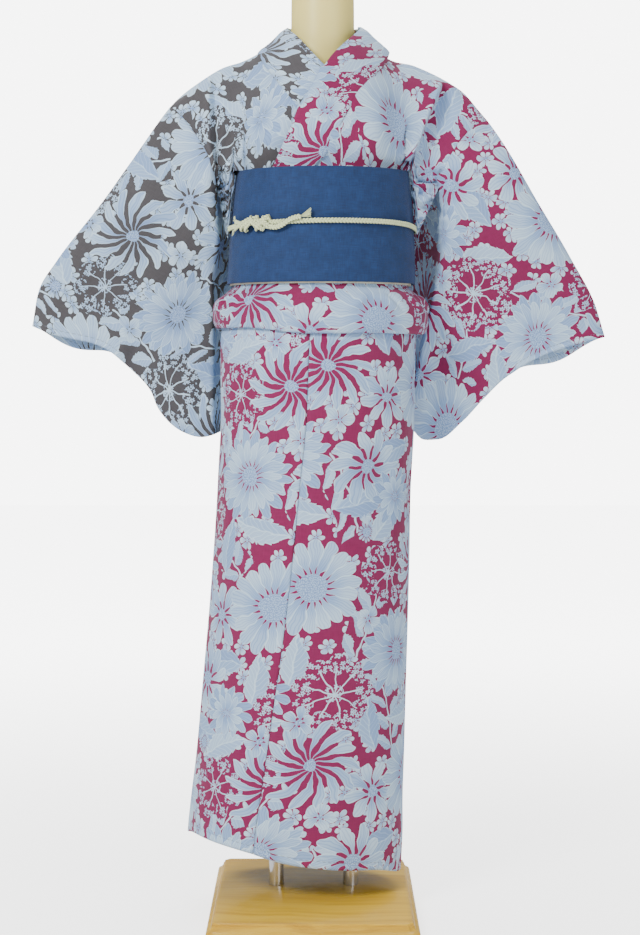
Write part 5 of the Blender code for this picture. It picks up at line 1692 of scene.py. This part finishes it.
form = {"rings": 86, "corners": 96, "rimHeight": 0.004, "rimInset": 0.09, "waistAt": 0.9, "neckOver": 0.3}


def makeForm():
    # ovals through the form's rings, then a quarter round at the top: the last ring drawn in by
    # inset * (1 - cos a) and raised by height * sin a
    z = np.linspace(formRings[0][0], formRings[-1][0] - form["rimHeight"], form["rings"])
    angle = np.linspace(0, 360, form["corners"] + 1)[:-1]
    middle = waistX + (neckX - waistX) * rising(z, form["waistAt"], form["neckOver"])
    halfWidth = through(formRings, z)[:, None]
    halfDepth = through(formRings, z, 2)[:, None]
    x, y = oval(angle[None], halfWidth, halfDepth, middle[:, None])
    rings = np.stack([x, y, np.broadcast_to(z[:, None], x.shape)], axis=-1)
    top = rings[-1]
    centre = np.array([middle[-1], axisY, top[0, 2]])
    turn = (np.linspace(0.25, 1, 5) * math.pi / 2)[:, None, None]
    over = centre + (top - centre) * (1 - form["rimInset"] * (1 - np.cos(turn)))
    over = over + np.array([0, 0, form["rimHeight"]]) * np.sin(turn)
    closedLoft("formShell", np.concatenate([rings, over]), creamShell, ("dress_form",), 50)


def makePoles():
    # straight round tubes where the frame has them
    angle = np.linspace(0, 2 * math.pi, 49)[:-1]
    for side in ("right", "left"):
        low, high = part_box(f"pole_{side}")
        radius = (high[0] - low[0]) / 2
        x = (low[0] + high[0]) / 2 + radius * np.cos(angle)
        y = (low[1] + high[1]) / 2 + radius * np.sin(angle)
        heights = (low[2], low[2] + 0.2, high[2] - 0.2, high[2])
        rings = np.stack([np.stack([x, y, np.full_like(x, z)], axis=-1) for z in heights])
        closedLoft(f"{side}Pole", rings, chromeTube, (f"pole_{side}",), 35)


boardEdge = (
    # the moulding from the underside up: inset, height
    (0.0015, 0.0), (0.0004, 0.0004), (0.0, 0.0015), (0.0, 0.0105), (0.0004, 0.0125), (0.0016, 0.0145),
    (0.0034, 0.016), (0.0056, 0.0172), (0.0074, 0.019), (0.0084, 0.0212), (0.0088, 0.0232),
    (0.009, 0.024), (0.0104, 0.0242), (0.0106, 0.0262), (0.0112, 0.0274), (0.0124, 0.028),
)
boardCorner = {"clip": 0.012, "lessInside": 0.4}


def makeBoard():
    # the moulding swept round a rectangle with its corners clipped, a little less as the inset grows
    low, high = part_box("base_board")
    rings = []
    for inset, z in boardEdge:
        a = (high[0] - low[0]) / 2 - inset
        b = (high[1] - low[1]) / 2 - inset
        clip = boardCorner["clip"] - inset * boardCorner["lessInside"]
        rings.append(((a, -b + clip, z), (a, b - clip, z), (a - clip, b, z), (-a + clip, b, z),
                      (-a, b - clip, z), (-a, -b + clip, z), (-a + clip, -b, z), (a - clip, -b, z)))
    closedLoft("mouldedBoard", np.array(rings, float), varnishedMaple, ("base_board",), 25)


upperPieces = {side: makeUpperBody(side) for side in ("right", "left")}
collarPieces = {side: makeCollar(side) for side in ("right", "left")}
sleevePieces = {side: makeSleeve(side) for side in ("right", "left")}
print("upper robe built")
leftOverlap, leftFront, leftBack, rightBack, rightFront, rightOverlap = makeSkirt()
foldPieces = {
    "right": makeWaistFold("right", 90.2, 183.6, rightFoldCreases),
    "left": makeWaistFold("left", 184, 449.8, leftFoldCreases),
}
print("skirt built")
obiInner, obiOuter = makeObi()
makeCord()
print("sash and cord built")
makeForm()
makePoles()
makeBoard()
print("stand built")


def sheetArea(piece):
    # half the surface of a walled sheet
    graph = bpy.context.evaluated_depsgraph_get()
    mesh = piece.evaluated_get(graph).to_mesh()
    area = np.empty(len(mesh.polygons))
    mesh.polygons.foreach_get("area", area)
    return float(area.sum() / 2)


sheetCuts = (
    # piece, flat width, flat length, how it is held, what it rests on
    (upperPieces["right"], 0.36, 0.6, "draped", ["dress_form"]),
    (upperPieces["left"], 0.36, 0.6, "draped", ["dress_form"]),
    (collarPieces["right"], 0.058, 0.46, "draped", ["body_right"]),
    (collarPieces["left"], 0.058, 0.48, "draped", ["body_left"]),
    (sleevePieces["right"], 0.39, 0.9, "hung", ["body_right"]),
    (sleevePieces["left"], 0.39, 0.9, "hung", ["body_left"]),
    (leftOverlap, 0.2, 0.8, "draped", ["front_right"]),
    (leftFront, 0.25, 0.84, "draped", ["overlap_right"]),
    (leftBack, 0.26, 0.85, "draped", ["dress_form"]),
    (rightBack, 0.25, 0.85, "draped", ["dress_form"]),
    (rightFront, 0.22, 0.82, "draped", ["dress_form"]),
    (rightOverlap, 0.14, 0.84, "draped", ["dress_form"]),
    (foldPieces["right"], 0.24, 0.13, "folded", ["back_right"]),
    (foldPieces["left"], 0.7, 0.13, "folded", ["front_left"]),
    (obiInner, 0.8, 0.165, "draped", ["body_left"]),
    (obiOuter, 0.9, 0.165, "draped", ["obi_inner_lap"]),
)
for piece, wide, long, held, under in sheetCuts:
    print(piece.name, "area", round(sheetArea(piece), 4), "of", round(wide * long, 4))
    min(wide * long, sheetArea(piece))


stage = {
    "floorColour": (0.86, 0.86, 0.85, 1), "floorHalf": 8, "floorHeight": -0.0005,
    # the floor's glow grows from the first to the second value between two distances from the middle
    "glow": (0.15, 3.0, 2.4, 6.0),
    # the backdrop's strength where it is seen, added to what lights the robe
    "backdrop": (6.5, 0.5),
}


def makeStage():
    made, tree, shader = newMaterial("paleFloor", 0.9)
    shader.inputs["Base Color"].default_value = stage["floorColour"]
    shader.inputs["Emission Color"].default_value = (1.0, 1.0, 1.0, 1)
    # brighter away from the board, so that the floor runs on into the backdrop
    seenFloor = tree.nodes.new("ShaderNodeLightPath").outputs["Is Camera Ray"]
    floorX, floorY, _ = splitXyz(tree, tree.nodes.new("ShaderNodeTexCoord").outputs["Object"])
    away = ranged(tree, flatLength(tree, floorX, floorY), *stage["glow"])
    feed(tree, shader.inputs["Emission Strength"], times(tree, seenFloor, away))
    side = np.array([-stage["floorHalf"], stage["floorHalf"]], float)
    x, y = np.meshgrid(side, side, indexing="ij")
    corners = np.stack([x, y, np.full_like(x, stage["floorHeight"])], axis=-1)
    gridObject("floor", corners, made, wall=0)
    world = bpy.data.worlds.new("studio")
    bpy.context.scene.world = world
    world.use_nodes = True
    sky = world.node_tree
    back = sky.nodes["Background"]
    back.inputs["Color"].default_value = (1.0, 1.0, 1.0, 1)
    # a bright backdrop that lights the robe only softly
    seen = sky.nodes.new("ShaderNodeLightPath").outputs["Is Camera Ray"]
    feed(sky, back.inputs["Strength"], timesPlus(sky, seen, *stage["backdrop"]))


lights = (
    # name, place, size, power, target
    ("key", (-1.7, -2.4, 2.5), (0.9, 0.9), 104, (0, 0, 0.75)),
    ("fill", (1.9, -2.4, 1.3), (1.8, 1.8), 26, (0, 0, 0.8)),
    ("floorWash", (0, 1.2, 2.6), (3.0, 1.6), 60, (0, 1.6, 0)),
)
view = {"lens": 72.0, "sensor": 36.0, "place": (0.0098, -2.7755, 0.818), "down": 3.185}


def makeLight(name, place, size, power, target):
    light = bpy.data.lights.new(name, "AREA")
    light.shape = "RECTANGLE"
    light.size, light.size_y = size
    light.energy = power
    obj = bpy.data.objects.new(name, light)
    obj.location = place
    obj.rotation_euler = (Vector(target) - Vector(place)).to_track_quat("-Z", "Y").to_euler()
    bpy.context.scene.collection.objects.link(obj)


def makeCamera():
    lens = bpy.data.cameras.new("camera")
    lens.lens = view["lens"]
    lens.sensor_width = view["sensor"]
    camera = bpy.data.objects.new("camera", lens)
    camera.location = view["place"]
    camera.rotation_euler = (math.radians(90 - view["down"]), 0, 0)
    bpy.context.scene.collection.objects.link(camera)
    bpy.context.scene.camera = camera


makeStage()
for light in lights:
    makeLight(*light)
makeCamera()
print("stage set")
